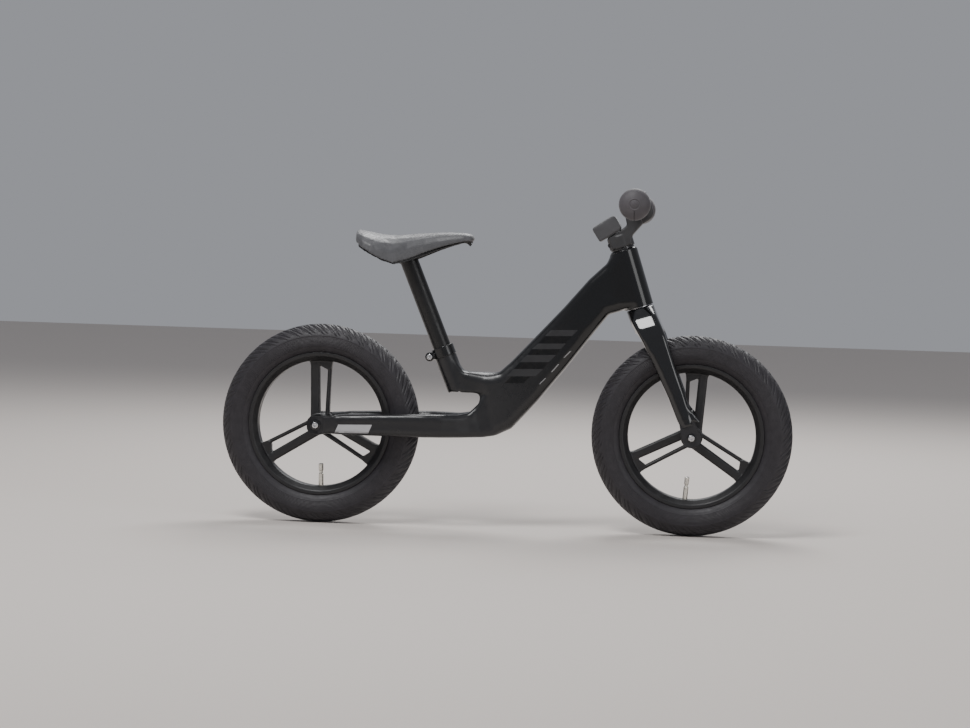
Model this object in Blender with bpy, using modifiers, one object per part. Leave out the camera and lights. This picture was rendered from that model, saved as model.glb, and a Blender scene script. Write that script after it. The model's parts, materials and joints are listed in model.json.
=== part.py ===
"""Balance bike: a child's 12-inch bicycle without pedals, steered and pushed along with the feet.

Metres, +X forward, +Y to the rider's left, +Z up. The origin is on the ground, on the
mid-plane, half-way between the contact points of the two wheels.
"""

import math

import bmesh
import bpy
from mathutils import Matrix, Vector

GAP = 0.0003  # between two pieces that touch

# Sides of the turned shapes. Pieces that fit in each other share a count, so their flats line up.
WHEEL_STEPS = 32
TUBE_STEPS = 20
SMALL_STEPS = 12
SCREW_STEPS = 10
CORNER_STEPS = 4  # facets of each rounded corner of a flat piece

# Overall layout
WHEELBASE = 0.563
HEAD_ANGLE = math.radians(72.0)
SEAT_ANGLE = math.radians(67.3)
FORK_RAKE = 0.021
FORK_LENGTH = 0.208  # from the axle's level up the steering axis to the head tube
HEAD_LENGTH = 0.087
SEAT_FOOT_X = 0.210  # rear axle to where the seat tube's axis leaves the lug
LUG_RISE = 0.0547  # the seat lug's flat underside, above the axles
SADDLE_RISE = 0.221  # along the seat tube's axis, from that foot to the saddle's datum
BAR_HALF_WIDTH = 0.194

# Wheels, as on a 50-203 tyre
BEAD_SEAT_R = 0.1015
TYRE_HEIGHT = 0.0495
TYRE_SECTION_R = 0.025
TYRE_WALL = 0.0042
TUBE_WALL = 0.0014
RIM_LIP_R = 0.1083
RIM_LIP_HALF = 0.019
RIM_LIP = 0.0022
BEAD_WIDTH = 0.0045
RIM_INNER_R = 0.0958
RIM_INNER_HALF = 0.0105
HUB_HALF = 0.031
HUB_END_R = 0.0165
HUB_WAIST_R = 0.0135
BEARING_R = 0.011
BEARING_WIDTH = 0.006
AXLE_BOLT_R = 0.0029
AXLE_BORE_R = AXLE_BOLT_R + 0.0004
AXLE_R = AXLE_BORE_R + 0.0017
AXLE_BOLT_HEAD_R = 0.0046
AXLE_BOLT_HEAD = 0.0045
AXLE_BOLT_REACH = 0.016
WASHER_THICK = 0.0018
SPACER_R = AXLE_R + 0.0021
SPACER_FLANGE_R = AXLE_R + 0.0048
VALVE_R = 0.0039
VALVE_LENGTH = 0.034
SPOKES = 3
WIDE_SPOKE = 0.0136
WIDE_SPOKE_OFFSET = 0.0078
THIN_SPOKE = 0.0058
THIN_SPOKE_OFFSET = 0.0153
REAR_HUB_WIDTH = 0.096
FRONT_HUB_WIDTH = 0.088
FRONT_ARM = math.radians(-85.7)  # where each wheel's first arm points at rest, below the horizon
REAR_ARM = math.radians(-91.7)
REAR_WASHER_R = 0.0084
FRONT_WASHER_R = 0.0068

# Frame
STAY_IN = 0.036
STAY_OUT = 0.056
STAY_BOTTOM = -0.0135  # from the axles' level
STAY_TOP = 0.0210
DROPOUT_THICK = 0.006
DROPOUT_R = 0.0135
SEAT_TUBE_LENGTH = 0.0725
SEAT_SLOT_DEPTH = 0.040
SEAT_SLOT = 0.003

# Steering
STEERER_R = 0.0143
STEERER_BORE_R = STEERER_R - 0.0023
HEADSET_R = STEERER_R + 0.0046
HEAD_TUBE_R = HEADSET_R + 0.0023
HEADSET_BEARING = 0.007
CROWN_RACE = 0.0024
CROWN_SEAM = 0.0012
CROWN_DEPTH = 0.041
HEADSET_COVER = 0.0034
SPACER = 0.0024
STEM_COLUMN_R = STEERER_R + 0.0049
STEM_HALF_WIDTH = 0.0175
STEM_BOLT_R = 0.0024
STEM_BOLT_HEAD_R = 0.0042
STEM_CLAMP = 0.0160  # the column's grip on the steerer
PINCH_HALF = 0.0090  # from the mid-plane to the pinch bolt's seat
SPLIT_HALF = 0.0008  # half the gap between stem and faceplate
STEM_RISE = 0.0577  # bar axis above the head tube's top, along the steering axis
STEM_REACH = 0.0393
BAR_R = 0.0111
BAR_WALL = 0.0018
STEM_UPPER_BOLT = BAR_R + 0.0040  # the faceplate's bolts, above and below the bar's axis
STEM_LOWER_BOLT = -BAR_R - 0.0052
GRIP_LENGTH = 0.104
GRIP_R = BAR_R + 0.0039
GRIP_BULB_R = 0.0230
GRIP_END_WALL = 0.006
PAD_LENGTH = 0.0405
PAD_HEIGHT = 0.0245
PAD_HALF_WIDTH = 0.0210
PAD_SLOPE = math.radians(15.4)  # from square to the steering axis
PAD_REST = 0.0307  # where that slope meets the axis, above the head tube's top
CAP_POCKET_R = STEERER_R + 0.0015
CAP_THICK = 0.0026
CAP_BOLT_R = 0.0026

# Seat
POST_R = 0.0136
POST_WALL = 0.0020
SEAT_NECK_R = POST_R + 0.00155  # the seat tube, turned down inside the collar
SEAT_TUBE_R = SEAT_NECK_R + 0.0011
POST_INSERTION = 0.060
COLLAR_HEIGHT = 0.0155
COLLAR_WALL = 0.0017
COLLAR_EAR_R = 0.0070
COLLAR_EAR_HALF = 0.0100
COLLAR_EAR_SUNK = 0.0020  # into the ring
COLLAR_NUT_R = 0.0050
COLLAR_NUT = 0.0035
COLLAR_BOLT_R = 0.0025
COLLAR_BOLT_HEAD_R = 0.0044
COLLAR_BOLT_HEAD = 0.0042
SADDLE_PAD = 0.0110  # the cover's thickness at the crown
SADDLE_SKIRT = 0.0035  # and at its lower edge
SADDLE_SHELL = 0.0030
SADDLE_SCREW_R = 0.0025
SADDLE_SCREW_HEAD_R = 0.0045
SADDLE_SCREW_SPACING = 0.016
SADDLE_SCREW_HEAD = 0.0012
SADDLE_SCREW_SEAT = 0.0024  # above the post's top, in the shell
SADDLE_SCREW_REACH = 0.0085
POST_HEAD_DEPTH = 0.002  # below the saddle's datum, where the head starts
POST_HEAD_HALF_WIDTH = 0.0130
POST_HEAD_NOSE = 0.0067  # how far the post's head reaches ahead of the tube

AXLE_Z = BEAD_SEAT_R + TYRE_HEIGHT
HEAD_TOP = FORK_LENGTH + HEAD_LENGTH
REAR_AXLE = Vector((-WHEELBASE / 2, 0, AXLE_Z))
FRONT_AXLE = Vector((WHEELBASE / 2, 0, AXLE_Z))
LEFT_RIGHT = (("left", 1), ("right", -1))
SIDEWAYS = Vector((0, 1, 0))
STEM_LOW = HEAD_TOP + HEADSET_COVER + SPACER + 2 * GAP
CROWN_TOP = FORK_LENGTH - CROWN_SEAM
STEM_BOLTS = (("upper", STEM_UPPER_BOLT), ("lower", STEM_LOWER_BOLT))


def tilted(origin, angle):
    """A frame whose Z climbs backwards at the given angle to the ground, and whose X faces forward."""
    up = Vector((-math.cos(angle), 0, math.sin(angle)))
    ahead = Vector((math.sin(angle), 0, math.cos(angle)))
    rotation = Matrix((ahead, (0, 1, 0), up)).transposed()
    return Matrix.Translation(origin) @ rotation.to_4x4()


AHEAD = Vector((math.sin(HEAD_ANGLE), 0, math.cos(HEAD_ANGLE)))
STEERING = tilted(FRONT_AXLE - FORK_RAKE * AHEAD, HEAD_ANGLE)
SEAT_FOOT = REAR_AXLE + Vector((SEAT_FOOT_X, 0, LUG_RISE))
SEATING = tilted(SEAT_FOOT, SEAT_ANGLE)
ALONG_Y = Matrix.Rotation(-math.pi / 2, 4, "X")  # local Z lies along +Y, local Y points down
UPRIGHT = Matrix.Rotation(math.pi / 2, 4, "X")  # local XY stands in the XZ plane
HALF_TURN = Matrix.Rotation(math.pi, 4, "X")  # turns what faces left to face right


def behind(ahead, rise):
    """A point of the mid-plane, given ahead of the rear axle and above it."""
    return REAR_AXLE + Vector((ahead, 0, rise))


def steered(height, ahead, side=0.0):
    """A point given along, ahead of and beside the steering axis, from the axle's level."""
    return STEERING @ Vector((ahead, side, height))


def seated(height, ahead):
    """A point of the mid-plane given along and ahead of the seat tube's axis, from its foot."""
    return SEATING @ Vector((ahead, 0, height))


def clear_scene():
    for obj in list(bpy.data.objects):
        bpy.data.objects.remove(obj, do_unlink=True)
    for name in ("balance_bike", "cutters"):
        bpy.context.scene.collection.children.link(bpy.data.collections.new(name))


def finish_of(name, colour, roughness, metallic=0.0):
    material = bpy.data.materials.new(name)
    material.use_nodes = True
    shader = material.node_tree.nodes["Principled BSDF"]
    shader.inputs["Base Color"].default_value = (*colour, 1)
    shader.inputs["Roughness"].default_value = roughness
    shader.inputs["Metallic"].default_value = metallic
    material.diffuse_color = (*colour, 1)
    return material


def place(name, mesh, material, frame=None, cutter=False):
    """Puts a mesh in the scene as one piece, or as a hidden cutter or joined-on shape."""
    obj = bpy.data.objects.new(name, mesh)
    obj.matrix_basis = frame if frame is not None else Matrix.Identity(4)
    if cutter:
        bpy.data.collections["cutters"].objects.link(obj)
        obj.hide_render = True
        obj.display_type = "WIRE"
        return obj
    bpy.data.collections["balance_bike"].objects.link(obj)
    obj.data.materials.append(material())
    return obj


def own(name, colour, roughness, metallic=0.0):
    """A maker of one piece's own material."""
    return lambda: finish_of(name, colour, roughness, metallic)


def mesh_of(bm, name):
    bmesh.ops.recalc_face_normals(bm, faces=bm.faces)
    mesh = bpy.data.meshes.new(name)
    bm.to_mesh(mesh)
    bm.free()
    mesh.shade_smooth()
    mesh.set_sharp_from_angle(angle=math.radians(35))
    return mesh


def turned(name, profile, material=None, frame=None, steps=TUBE_STEPS, cutter=False):
    """Turns (radius, height) points about Z. The outer side comes first, from the top down."""
    mesh = bpy.data.meshes.new(name)
    points = [(radius, 0, height) for radius, height in profile]
    edges = [(i, i + 1) for i in range(len(points) - 1)]
    if profile[0][0] > 0:
        edges.append((len(points) - 1, 0))
    mesh.from_pydata(points, edges, [])
    obj = place(name, mesh, material, frame, cutter)
    screw = obj.modifiers.new("Turn", "SCREW")
    screw.steps = steps
    screw.render_steps = steps
    screw.use_merge_vertices = True
    screw.merge_threshold = 0.0001
    return obj


def ring(outer, inner, low, high, chamfer=0.0):
    """A ring's profile, with its outer edges chamfered where a chamfer is given."""
    bore = [(inner, low), (inner, high)]
    if not chamfer:
        return [(outer, high), (outer, low)] + bore
    face = outer - chamfer
    return [(face, high), (outer, high - chamfer), (outer, low + chamfer), (face, low)] + bore


def rod(radius, low, high):
    return [(0, high), (radius, high), (radius, low), (0, low)]


def loft(name, sections, material=None, frame=None, cutter=False):
    """Joins closed sections of equal point count, one after the other, and caps both ends."""
    bm = bmesh.new()
    loops = [[bm.verts.new(point) for point in section] for section in sections]
    count = len(loops[0])
    for near, far in zip(loops, loops[1:]):
        for i in range(count):
            bm.faces.new((near[i], near[(i + 1) % count], far[(i + 1) % count], far[i]))
    bm.faces.new(loops[0])
    bm.faces.new(loops[-1])
    bmesh.ops.triangulate(bm, faces=bm.faces)
    return place(name, mesh_of(bm, name), material, frame, cutter)


def rounded(centre, across, up, half_across, half_up, radius, arc_steps=3):
    """A rounded rectangle about a point, in the plane of two unit vectors."""
    radius = min(radius, half_across, half_up) * 0.999
    points = []
    for quarter, (side, level) in enumerate(((1, 1), (-1, 1), (-1, -1), (1, -1))):
        for step in range(arc_steps + 1):
            angle = (quarter + step / arc_steps) * math.pi / 2
            a = side * (half_across - radius) + radius * math.cos(angle)
            b = level * (half_up - radius) + radius * math.sin(angle)
            points.append(centre + across * a + up * b)
    return points


def standing(top, bottom, inner, outer, radius):
    """A rounded section between two points of the mid-plane, from one side distance to another."""
    up = (top - bottom).normalized()
    centre = (top + bottom) / 2 + Vector((0, (inner + outer) / 2, 0))
    half_up = (top - bottom).length / 2
    return rounded(centre, SIDEWAYS, up, (outer - inner) / 2, half_up, radius, 2)


def filleted(corners):
    """An outline from (x, y, radius) corners, each rounded by an arc of its radius."""
    outline = []
    for i, (x, y, radius) in enumerate(corners):
        corner = Vector((x, y))
        before = Vector(corners[i - 1][:2]) - corner
        after = Vector(corners[(i + 1) % len(corners)][:2]) - corner
        if radius == 0:
            outline.append(corner)
            continue
        half = before.angle(after) / 2
        back = min(radius / math.tan(half), 0.49 * before.length, 0.49 * after.length)
        start = corner + before.normalized() * back
        end = corner + after.normalized() * back
        middle = corner + (before.normalized() + after.normalized()).normalized() * (back / math.cos(half))
        spoke = start - middle
        sweep = spoke.angle_signed(end - middle)
        for step in range(CORNER_STEPS + 1):
            turn = Matrix.Rotation(-sweep * step / CORNER_STEPS, 2)
            outline.append(middle + turn @ spoke)
    return outline


def plate(name, outline, half_thick, material=None, frame=None, cutter=False, edge=0.0, edge_steps=2):
    """A flat piece from an outline in local XY, made a mesh so that it can be cut, joined and rounded."""
    curve = bpy.data.curves.new(name, "CURVE")
    curve.dimensions = "2D"
    curve.fill_mode = "BOTH"
    curve.extrude = half_thick
    spline = curve.splines.new("POLY")
    spline.points.add(len(outline) - 1)
    for point, (x, y) in zip(spline.points, outline):
        point.co = (x, y, 0, 1)
    spline.use_cyclic_u = True
    source = bpy.data.objects.new(name + "_outline", curve)
    bpy.context.scene.collection.objects.link(source)
    graph = bpy.context.evaluated_depsgraph_get()
    mesh = bpy.data.meshes.new_from_object(source.evaluated_get(graph))
    bpy.data.objects.remove(source, do_unlink=True)
    bm = bmesh.new()
    bm.from_mesh(mesh)
    bmesh.ops.remove_doubles(bm, verts=bm.verts, dist=0.00001)
    bmesh.ops.dissolve_limit(bm, angle_limit=0.001, verts=bm.verts, edges=bm.edges)
    obj = place(name, mesh_of(bm, name), material, frame, cutter)
    if edge:
        bevel = obj.modifiers.new("Edge", "BEVEL")
        bevel.width = edge
        bevel.segments = edge_steps
        bevel.limit_method = "ANGLE"
        bevel.angle_limit = math.radians(60)
    return obj


def block(name, low, high, frame=None):
    """A box-shaped cutter between two corners."""
    bm = bmesh.new()
    bmesh.ops.create_cube(bm, size=1)
    low, high = Vector(low), Vector(high)
    scale = Matrix.Diagonal((*(high - low), 1))
    bmesh.ops.transform(bm, matrix=Matrix.Translation((low + high) / 2) @ scale, verts=bm.verts)
    return place(name, mesh_of(bm, name), None, frame, cutter=True)


def boolean(target, other, operation="DIFFERENCE"):
    modifier = target.modifiers.new(other.name, "BOOLEAN")
    modifier.operation = operation
    modifier.object = other
    modifier.solver = "EXACT"


def boolean_all(target, others, operation="DIFFERENCE"):
    """Joins or cuts all the others in one step, which keeps their many crossings exact."""
    group = bpy.data.collections.new(target.name + "_" + operation.lower())
    for other in others:
        group.objects.link(other)
    modifier = target.modifiers.new(group.name, "BOOLEAN")
    modifier.operation = operation
    modifier.operand_type = "COLLECTION"
    modifier.collection = group
    modifier.solver = "EXACT"


def hang_on(empty_name, frame, pieces):
    """Parents the pieces of one moving body to an empty on its joint's axis."""
    empty = bpy.data.objects.new(empty_name, None)
    empty.empty_display_size = 0.03
    empty.matrix_basis = frame
    bpy.data.collections["balance_bike"].objects.link(empty)
    for piece in pieces:
        piece.parent = empty
        piece.matrix_parent_inverse = frame.inverted()


# Frame ------------------------------------------------------------------------------------


def beam_sections():
    """The one deep beam, from the head tube down to the shell ahead of the rear wheel.

    Its top and lower edges are points along the line from the shell to the head tube's middle, as a
    share of that line and a rise above it. The half-width comes last.
    """
    stations = (
        ((0.832, 0.0418), (0.787, -0.0174), 0.0215),
        ((0.637, 0.0351), (0.666, -0.0230), 0.0235),
        ((0.407, 0.0297), (0.431, -0.0349), 0.0250),
        ((0.235, 0.0260), (0.202, -0.0445), 0.0262),
        ((0.153, 0.0259), (0.093, -0.0474), 0.0270),
        ((0.106, 0.0323), (0.000, -0.0497), 0.0275),
        ((0.079, 0.0393), (-0.086, -0.0423), 0.0275),
    )
    foot = behind(SEAT_FOOT_X + 0.048, 0.039)
    line = steered(FORK_LENGTH + HEAD_LENGTH / 2, 0) - foot
    rise = line.cross(SIDEWAYS).normalized()
    head = (steered(HEAD_TOP - 0.010, 0), steered(FORK_LENGTH + 0.009, 0))
    neck = (steered(HEAD_TOP - 0.008, -0.024), steered(FORK_LENGTH + 0.002, -0.025))
    sections = [standing(*head, -0.0190, 0.0190, 0.011), standing(*neck, -0.0198, 0.0198, 0.011)]
    for top, low, half in stations:
        ends = [foot + line * share + rise * level for share, level in (top, low)]
        sections.append(standing(*ends, -half, half, 0.011))
    return sections


def shelf_sections():
    """The short shelf from the beam's top back to the seat tube, flat below."""
    stations = ((0.062, 0.0865, 0.0240), (0.036, 0.0830, 0.0220), (0.017, 0.0842, 0.0185),
                (0.006, 0.0875, 0.0165), (-0.0015, 0.0970, 0.0150), (-0.010, 0.1110, 0.0130))
    low = LUG_RISE - 0.015  # the notch then cuts it flat
    sections = []
    for ahead, top, half in stations:
        x = SEAT_FOOT_X + ahead
        sections.append(standing(behind(x, top), behind(x, low), -half, half, 0.007))
    return sections


def stay_sections(side):
    """One chainstay: straight beside the wheel, then drawn in and up into the shell.

    Each station is its top point and its lower one, and how far it is drawn in, inside and outside.
    """
    foot = SEAT_FOOT_X
    stations = (
        ((0.0072, 0.0125), (0.0160, STAY_BOTTOM + 0.001), -0.001, 0.001),
        ((0.0400, 0.0170), (0.0430, STAY_BOTTOM), 0, 0),
        ((0.1100, 0.0198), (0.1100, STAY_BOTTOM), 0, 0),
        ((foot - 0.048, STAY_TOP), (foot - 0.048, STAY_BOTTOM), 0.002, 0.001),
        ((foot - 0.022, STAY_TOP), (foot - 0.021, STAY_BOTTOM + 0.0003), 0.012, 0.006),
        ((foot, STAY_TOP), (foot + 0.003, STAY_BOTTOM + 0.0006), 0.024, 0.014),
        ((foot + 0.017, STAY_TOP + 0.003), (foot + 0.022, STAY_BOTTOM + 0.0011), 0.035, 0.021),
        ((foot + 0.028, STAY_TOP + 0.014), (foot + 0.039, STAY_BOTTOM + 0.0017), 0.040, 0.026),
        ((foot + 0.038, STAY_TOP + 0.034), (foot + 0.058, STAY_BOTTOM + 0.0048), 0.042, 0.029),
        ((foot + 0.055, STAY_TOP + 0.042), (foot + 0.075, STAY_BOTTOM + 0.0185), 0.043, 0.031),
    )
    sections = []
    for top, low, inner_draw, outer_draw in stations:
        near, far = sorted((side * (STAY_IN - inner_draw), side * (STAY_OUT - outer_draw)))
        sections.append(standing(behind(*top), behind(*low), near, far, 0.0065))
    return sections


def build_frame():
    frame = loft("frame", beam_sections(), own("frame", (0.018, 0.018, 0.02), 0.32))
    joined = [loft("stay_" + name, stay_sections(side), cutter=True) for name, side in LEFT_RIGHT]
    joined.append(loft("shelf", shelf_sections(), cutter=True))
    joined.append(build_seat_tube())
    solid = [(0, HEAD_TOP)] + ring(HEAD_TUBE_R, 0, FORK_LENGTH, HEAD_TOP, 0.0006)[:4] + [(0, FORK_LENGTH)]
    joined.append(turned("head_tube", solid, frame=STEERING, steps=32, cutter=True))
    boolean_all(frame, joined, "UNION")
    bore = rod(POST_R + GAP, -0.03, SEAT_TUBE_LENGTH + 0.03)
    slot_low = (-0.05, -SEAT_SLOT / 2, SEAT_TUBE_LENGTH - SEAT_SLOT_DEPTH)
    cut = [
        notch(),
        turned("head_bore", head_bore_profile(), frame=STEERING, cutter=True),
        turned("seat_bore", bore, frame=SEATING, cutter=True),
        block("seat_slot", slot_low, (0, SEAT_SLOT / 2, SEAT_TUBE_LENGTH + 0.02), SEATING),
    ]
    for name, side in LEFT_RIGHT:
        cut.append(dropout_plate("stay_slot_" + name, side, REAR_HUB_WIDTH, rear_outline, GAP, cutter=True))
    boolean_all(frame, cut)
    return frame


def build_seat_tube():
    shoulder = SEAT_TUBE_LENGTH - COLLAR_HEIGHT
    profile = [(0, SEAT_TUBE_LENGTH), (SEAT_NECK_R, SEAT_TUBE_LENGTH), (SEAT_NECK_R, shoulder),
               (SEAT_TUBE_R, shoulder), (SEAT_TUBE_R, -0.02), (0, -0.02)]
    return turned("seat_tube", profile, frame=SEATING, cutter=True)


def notch():
    """The gap above the chainstays, round at its front end, that leaves the lug flat below."""
    low = STAY_TOP + 0.0045
    rear = SEAT_FOOT_X - 0.090
    front = SEAT_FOOT_X + 0.033
    outline = filleted([
        (rear, low, 0), (front - 0.017, low, 0.012), (front, LUG_RISE - 0.0152, 0.006),
        (front, LUG_RISE, 0.008), (rear, LUG_RISE, 0)])
    return plate("notch", outline, 0.08, frame=Matrix.Translation(REAR_AXLE) @ UPRIGHT, cutter=True)


def head_bore_profile():
    """The steerer's way through the head tube, wider at both ends for the bearings."""
    wide = HEADSET_R + GAP
    narrow = (STEERER_R + HEADSET_R) / 2
    low_seat = FORK_LENGTH - CROWN_SEAM + CROWN_RACE + HEADSET_BEARING + 3 * GAP
    high_seat = HEAD_TOP - HEADSET_BEARING - 2 * GAP
    return [(0, HEAD_TOP + 0.01), (wide, HEAD_TOP + 0.01), (wide, high_seat), (narrow, high_seat),
            (narrow, low_seat), (wide, low_seat), (wide, FORK_LENGTH - 0.01), (0, FORK_LENGTH - 0.01)]


def rear_outline(extra):
    """The rear dropout's outline about the axle, with a tongue into the stay."""
    reach = DROPOUT_R + extra
    return filleted([
        (-reach, -reach * 0.9, reach * 0.8), (0.004, -reach, 0.004), (0.030, -0.0085 - extra, 0.003),
        (0.030, 0.0150 + extra, 0.003), (0.004, reach, 0.004), (-reach, reach * 0.9, reach * 0.8)])


def front_outline(extra):
    """The front dropout's outline about the axle, with a tongue up into the fork's leg."""
    reach = DROPOUT_R + extra
    return filleted([
        (-reach, -reach, reach * 0.95), (reach, -reach, reach * 0.95), (reach, 0.006, 0.004),
        (0.006 + extra, 0.052, 0.003), (-0.009 - extra, 0.052, 0.003), (-reach, 0.006, 0.004)])


def dropout_plate(name, side, hub_width, outline, extra=0.0, material=None, cutter=False):
    """A dropout, or the slot for it where extra is its clearance. Its holes take the axle bolt."""
    rear = outline is rear_outline
    turn = Matrix.Identity(4) if rear else Matrix.Rotation(HEAD_ANGLE - math.pi / 2, 4, "Y")
    centre = REAR_AXLE if rear else FRONT_AXLE
    middle = side * (hub_width + DROPOUT_THICK) / 2
    frame = Matrix.Translation(centre + Vector((0, middle, 0))) @ turn @ UPRIGHT
    half = DROPOUT_THICK / 2 + extra
    obj = plate(name, outline(extra), half, material, frame, cutter)
    if not extra:
        hole = rod(AXLE_BOLT_R + GAP, -0.05, 0.05)
        boolean(obj, turned(name + "_hole", hole, frame=frame, steps=SCREW_STEPS, cutter=True))
    return obj


def build_dropouts(place_name, hub_width, outline):
    colour = own(place_name + "_dropout", (0.03, 0.03, 0.032), 0.38, 0.7)
    return [dropout_plate(f"{place_name}_dropout_{name}", side, hub_width, outline, material=colour)
            for name, side in LEFT_RIGHT]


# Headset, fork and stem -------------------------------------------------------------------


def build_headset():
    """The frame's two bearings, and what turns with the fork, which alone is handed back."""
    steel = own("headset_bearing", (0.55, 0.55, 0.56), 0.28, 1.0)
    black = own("headset_cover", (0.02, 0.02, 0.022), 0.25, 0.6)
    race_low = FORK_LENGTH - CROWN_SEAM + GAP
    low = race_low + CROWN_RACE
    high = HEAD_TOP - GAP
    inner = STEERER_R + GAP
    lower = ring(HEADSET_R, inner, low, low + HEADSET_BEARING)
    upper = ring(HEADSET_R, inner, high - HEADSET_BEARING, high)
    turned("headset_bearing_lower", lower, steel, STEERING)
    turned("headset_bearing_upper", upper, steel, STEERING)
    rim = HEAD_TUBE_R - 0.0008
    spacer_r = HEAD_TUBE_R - 0.0034
    cover_top = HEAD_TOP + HEADSET_COVER
    seat = HEAD_TOP + GAP
    cover = [(spacer_r, cover_top), (rim, HEAD_TOP + 0.0012), (rim, seat), (inner, seat), (inner, cover_top)]
    spacer_low = cover_top + GAP
    return [
        turned("crown_race", ring(HEADSET_R - 0.001, inner, race_low, low - GAP), steel, STEERING),
        turned("headset_cover", cover, black, STEERING),
        turned("stem_spacer", ring(spacer_r, inner, spacer_low, spacer_low + SPACER),
               own("stem_spacer", (0.02, 0.02, 0.022), 0.3, 0.6), STEERING),
    ]


def leg_sections(side):
    """One fork leg, from inside the crown to its slanted end above the dropout.

    Stations: along and ahead of the steering axis, out from it, and the half-sizes.
    """
    out = FRONT_HUB_WIDTH / 2
    stations = (
        (CROWN_TOP - 0.016, 0.0020, out - 0.0240, 0.0195, 0.0150),
        (CROWN_TOP - 0.031, 0.0050, out - 0.0130, 0.0190, 0.0125),
        (CROWN_TOP - 0.047, 0.0080, out - 0.0055, 0.0182, 0.0095),
        (FORK_LENGTH * 0.67, 0.0102, out - 0.0025, 0.0168, 0.0085),
        (FORK_LENGTH * 0.53, 0.0130, out - 0.0012, 0.0146, 0.0080),
        (FORK_LENGTH * 0.32, 0.0172, out + 0.0004, 0.0128, 0.0073),
        (0.028, FORK_RAKE - 0.0020, out + 0.0018, 0.0112, 0.0070),
        (0.0175, FORK_RAKE - 0.0012, out + 0.0022, 0.0104, 0.0066),
    )
    across = SIDEWAYS * side
    sections = []
    for height, ahead, outward, half, half_out in stations:
        centre = steered(height, ahead, side * outward)
        sections.append(rounded(centre, across, AHEAD, half_out, half, 0.0068))
    return sections


def crown_sections():
    """The crown, round under the head tube and spreading to the two legs.

    Stations: down from its top, ahead of the axis, the half-sizes along and across, and the corners.
    """
    wide = FRONT_HUB_WIDTH / 2
    stations = (
        (0.0, 0.0, HEAD_TUBE_R - 0.0004, HEAD_TUBE_R - 0.0004, 0.0208),
        (0.011, 0.0008, HEAD_TUBE_R - 0.0002, HEAD_TUBE_R + 0.0010, 0.0208),
        (0.022, 0.0020, HEAD_TUBE_R - 0.0004, HEAD_TUBE_R + 0.0073, 0.0165),
        (0.032, 0.0040, HEAD_TUBE_R - 0.0014, wide - 0.0070, 0.0165),
        (CROWN_DEPTH, 0.0060, HEAD_TUBE_R - 0.0024, wide, 0.0165),
    )
    return [rounded(steered(CROWN_TOP - down, ahead), SIDEWAYS, AHEAD, half_out, half, radius, 5)
            for down, ahead, half, half_out, radius in stations]


def build_fork():
    fork = loft("fork", crown_sections(), own("fork", (0.006, 0.006, 0.007), 0.12))
    legs = [loft("leg_" + name, leg_sections(side), cutter=True) for name, side in LEFT_RIGHT]
    boolean_all(fork, legs, "UNION")
    arch_half = TYRE_SECTION_R + 0.006
    arch = rod(AXLE_Z + 0.008, -arch_half, arch_half)
    seat_low = CROWN_TOP - CROWN_DEPTH + 0.006
    seat = rod(STEERER_R + GAP, seat_low, CROWN_TOP + 0.01)
    cut = [
        turned("tyre_arch", arch, frame=Matrix.Translation(FRONT_AXLE) @ ALONG_Y, steps=48, cutter=True),
        turned("steerer_seat", seat, frame=STEERING, cutter=True),
    ]
    for name, side in LEFT_RIGHT:
        cut.append(dropout_plate("leg_slot_" + name, side, FRONT_HUB_WIDTH, front_outline, GAP, cutter=True))
    boolean_all(fork, cut)
    tube = ring(STEERER_R, STEERER_BORE_R, seat_low + GAP, STEM_LOW + STEM_CLAMP - 0.0005)
    return [fork, turned("steerer", tube, own("steerer", (0.5, 0.5, 0.52), 0.35, 1.0), STEERING)]


def stem_outline():
    """The stem's side, ahead of and along the steering axis."""
    r = STEM_COLUMN_R
    nose = STEM_REACH + BAR_R + 0.0094
    bar = HEAD_TOP + STEM_RISE
    top = bar + BAR_R + 0.0074
    return filleted([
        (-r + 0.004, STEM_LOW, 0), (r - 0.004, STEM_LOW, 0), (r, STEM_LOW + 0.013, 0.008),
        (STEM_REACH - 0.001, bar - BAR_R - 0.0154, 0.008), (nose, bar - BAR_R - 0.0099, 0.014),
        (nose, top, 0.014), (STEM_REACH - BAR_R - 0.0084, top, 0.012),
        (r - 0.0029, pad_rest(r - 0.0029) + 0.001, 0.005), (0.010, pad_rest(0.010), 0),
        (-r + 0.002, pad_rest(-r + 0.002), 0.002)])


def pad_rest(ahead):
    """The height of the slope that the pad lies on, at a distance ahead of the steering axis."""
    return HEAD_TOP + PAD_REST + math.tan(PAD_SLOPE) * ahead


def bar_hole(name):
    centre = Matrix.Translation(steered(HEAD_TOP + STEM_RISE, STEM_REACH))
    return turned(name, rod(BAR_R + GAP, -0.05, 0.05), frame=centre @ ALONG_Y, cutter=True)


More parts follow.
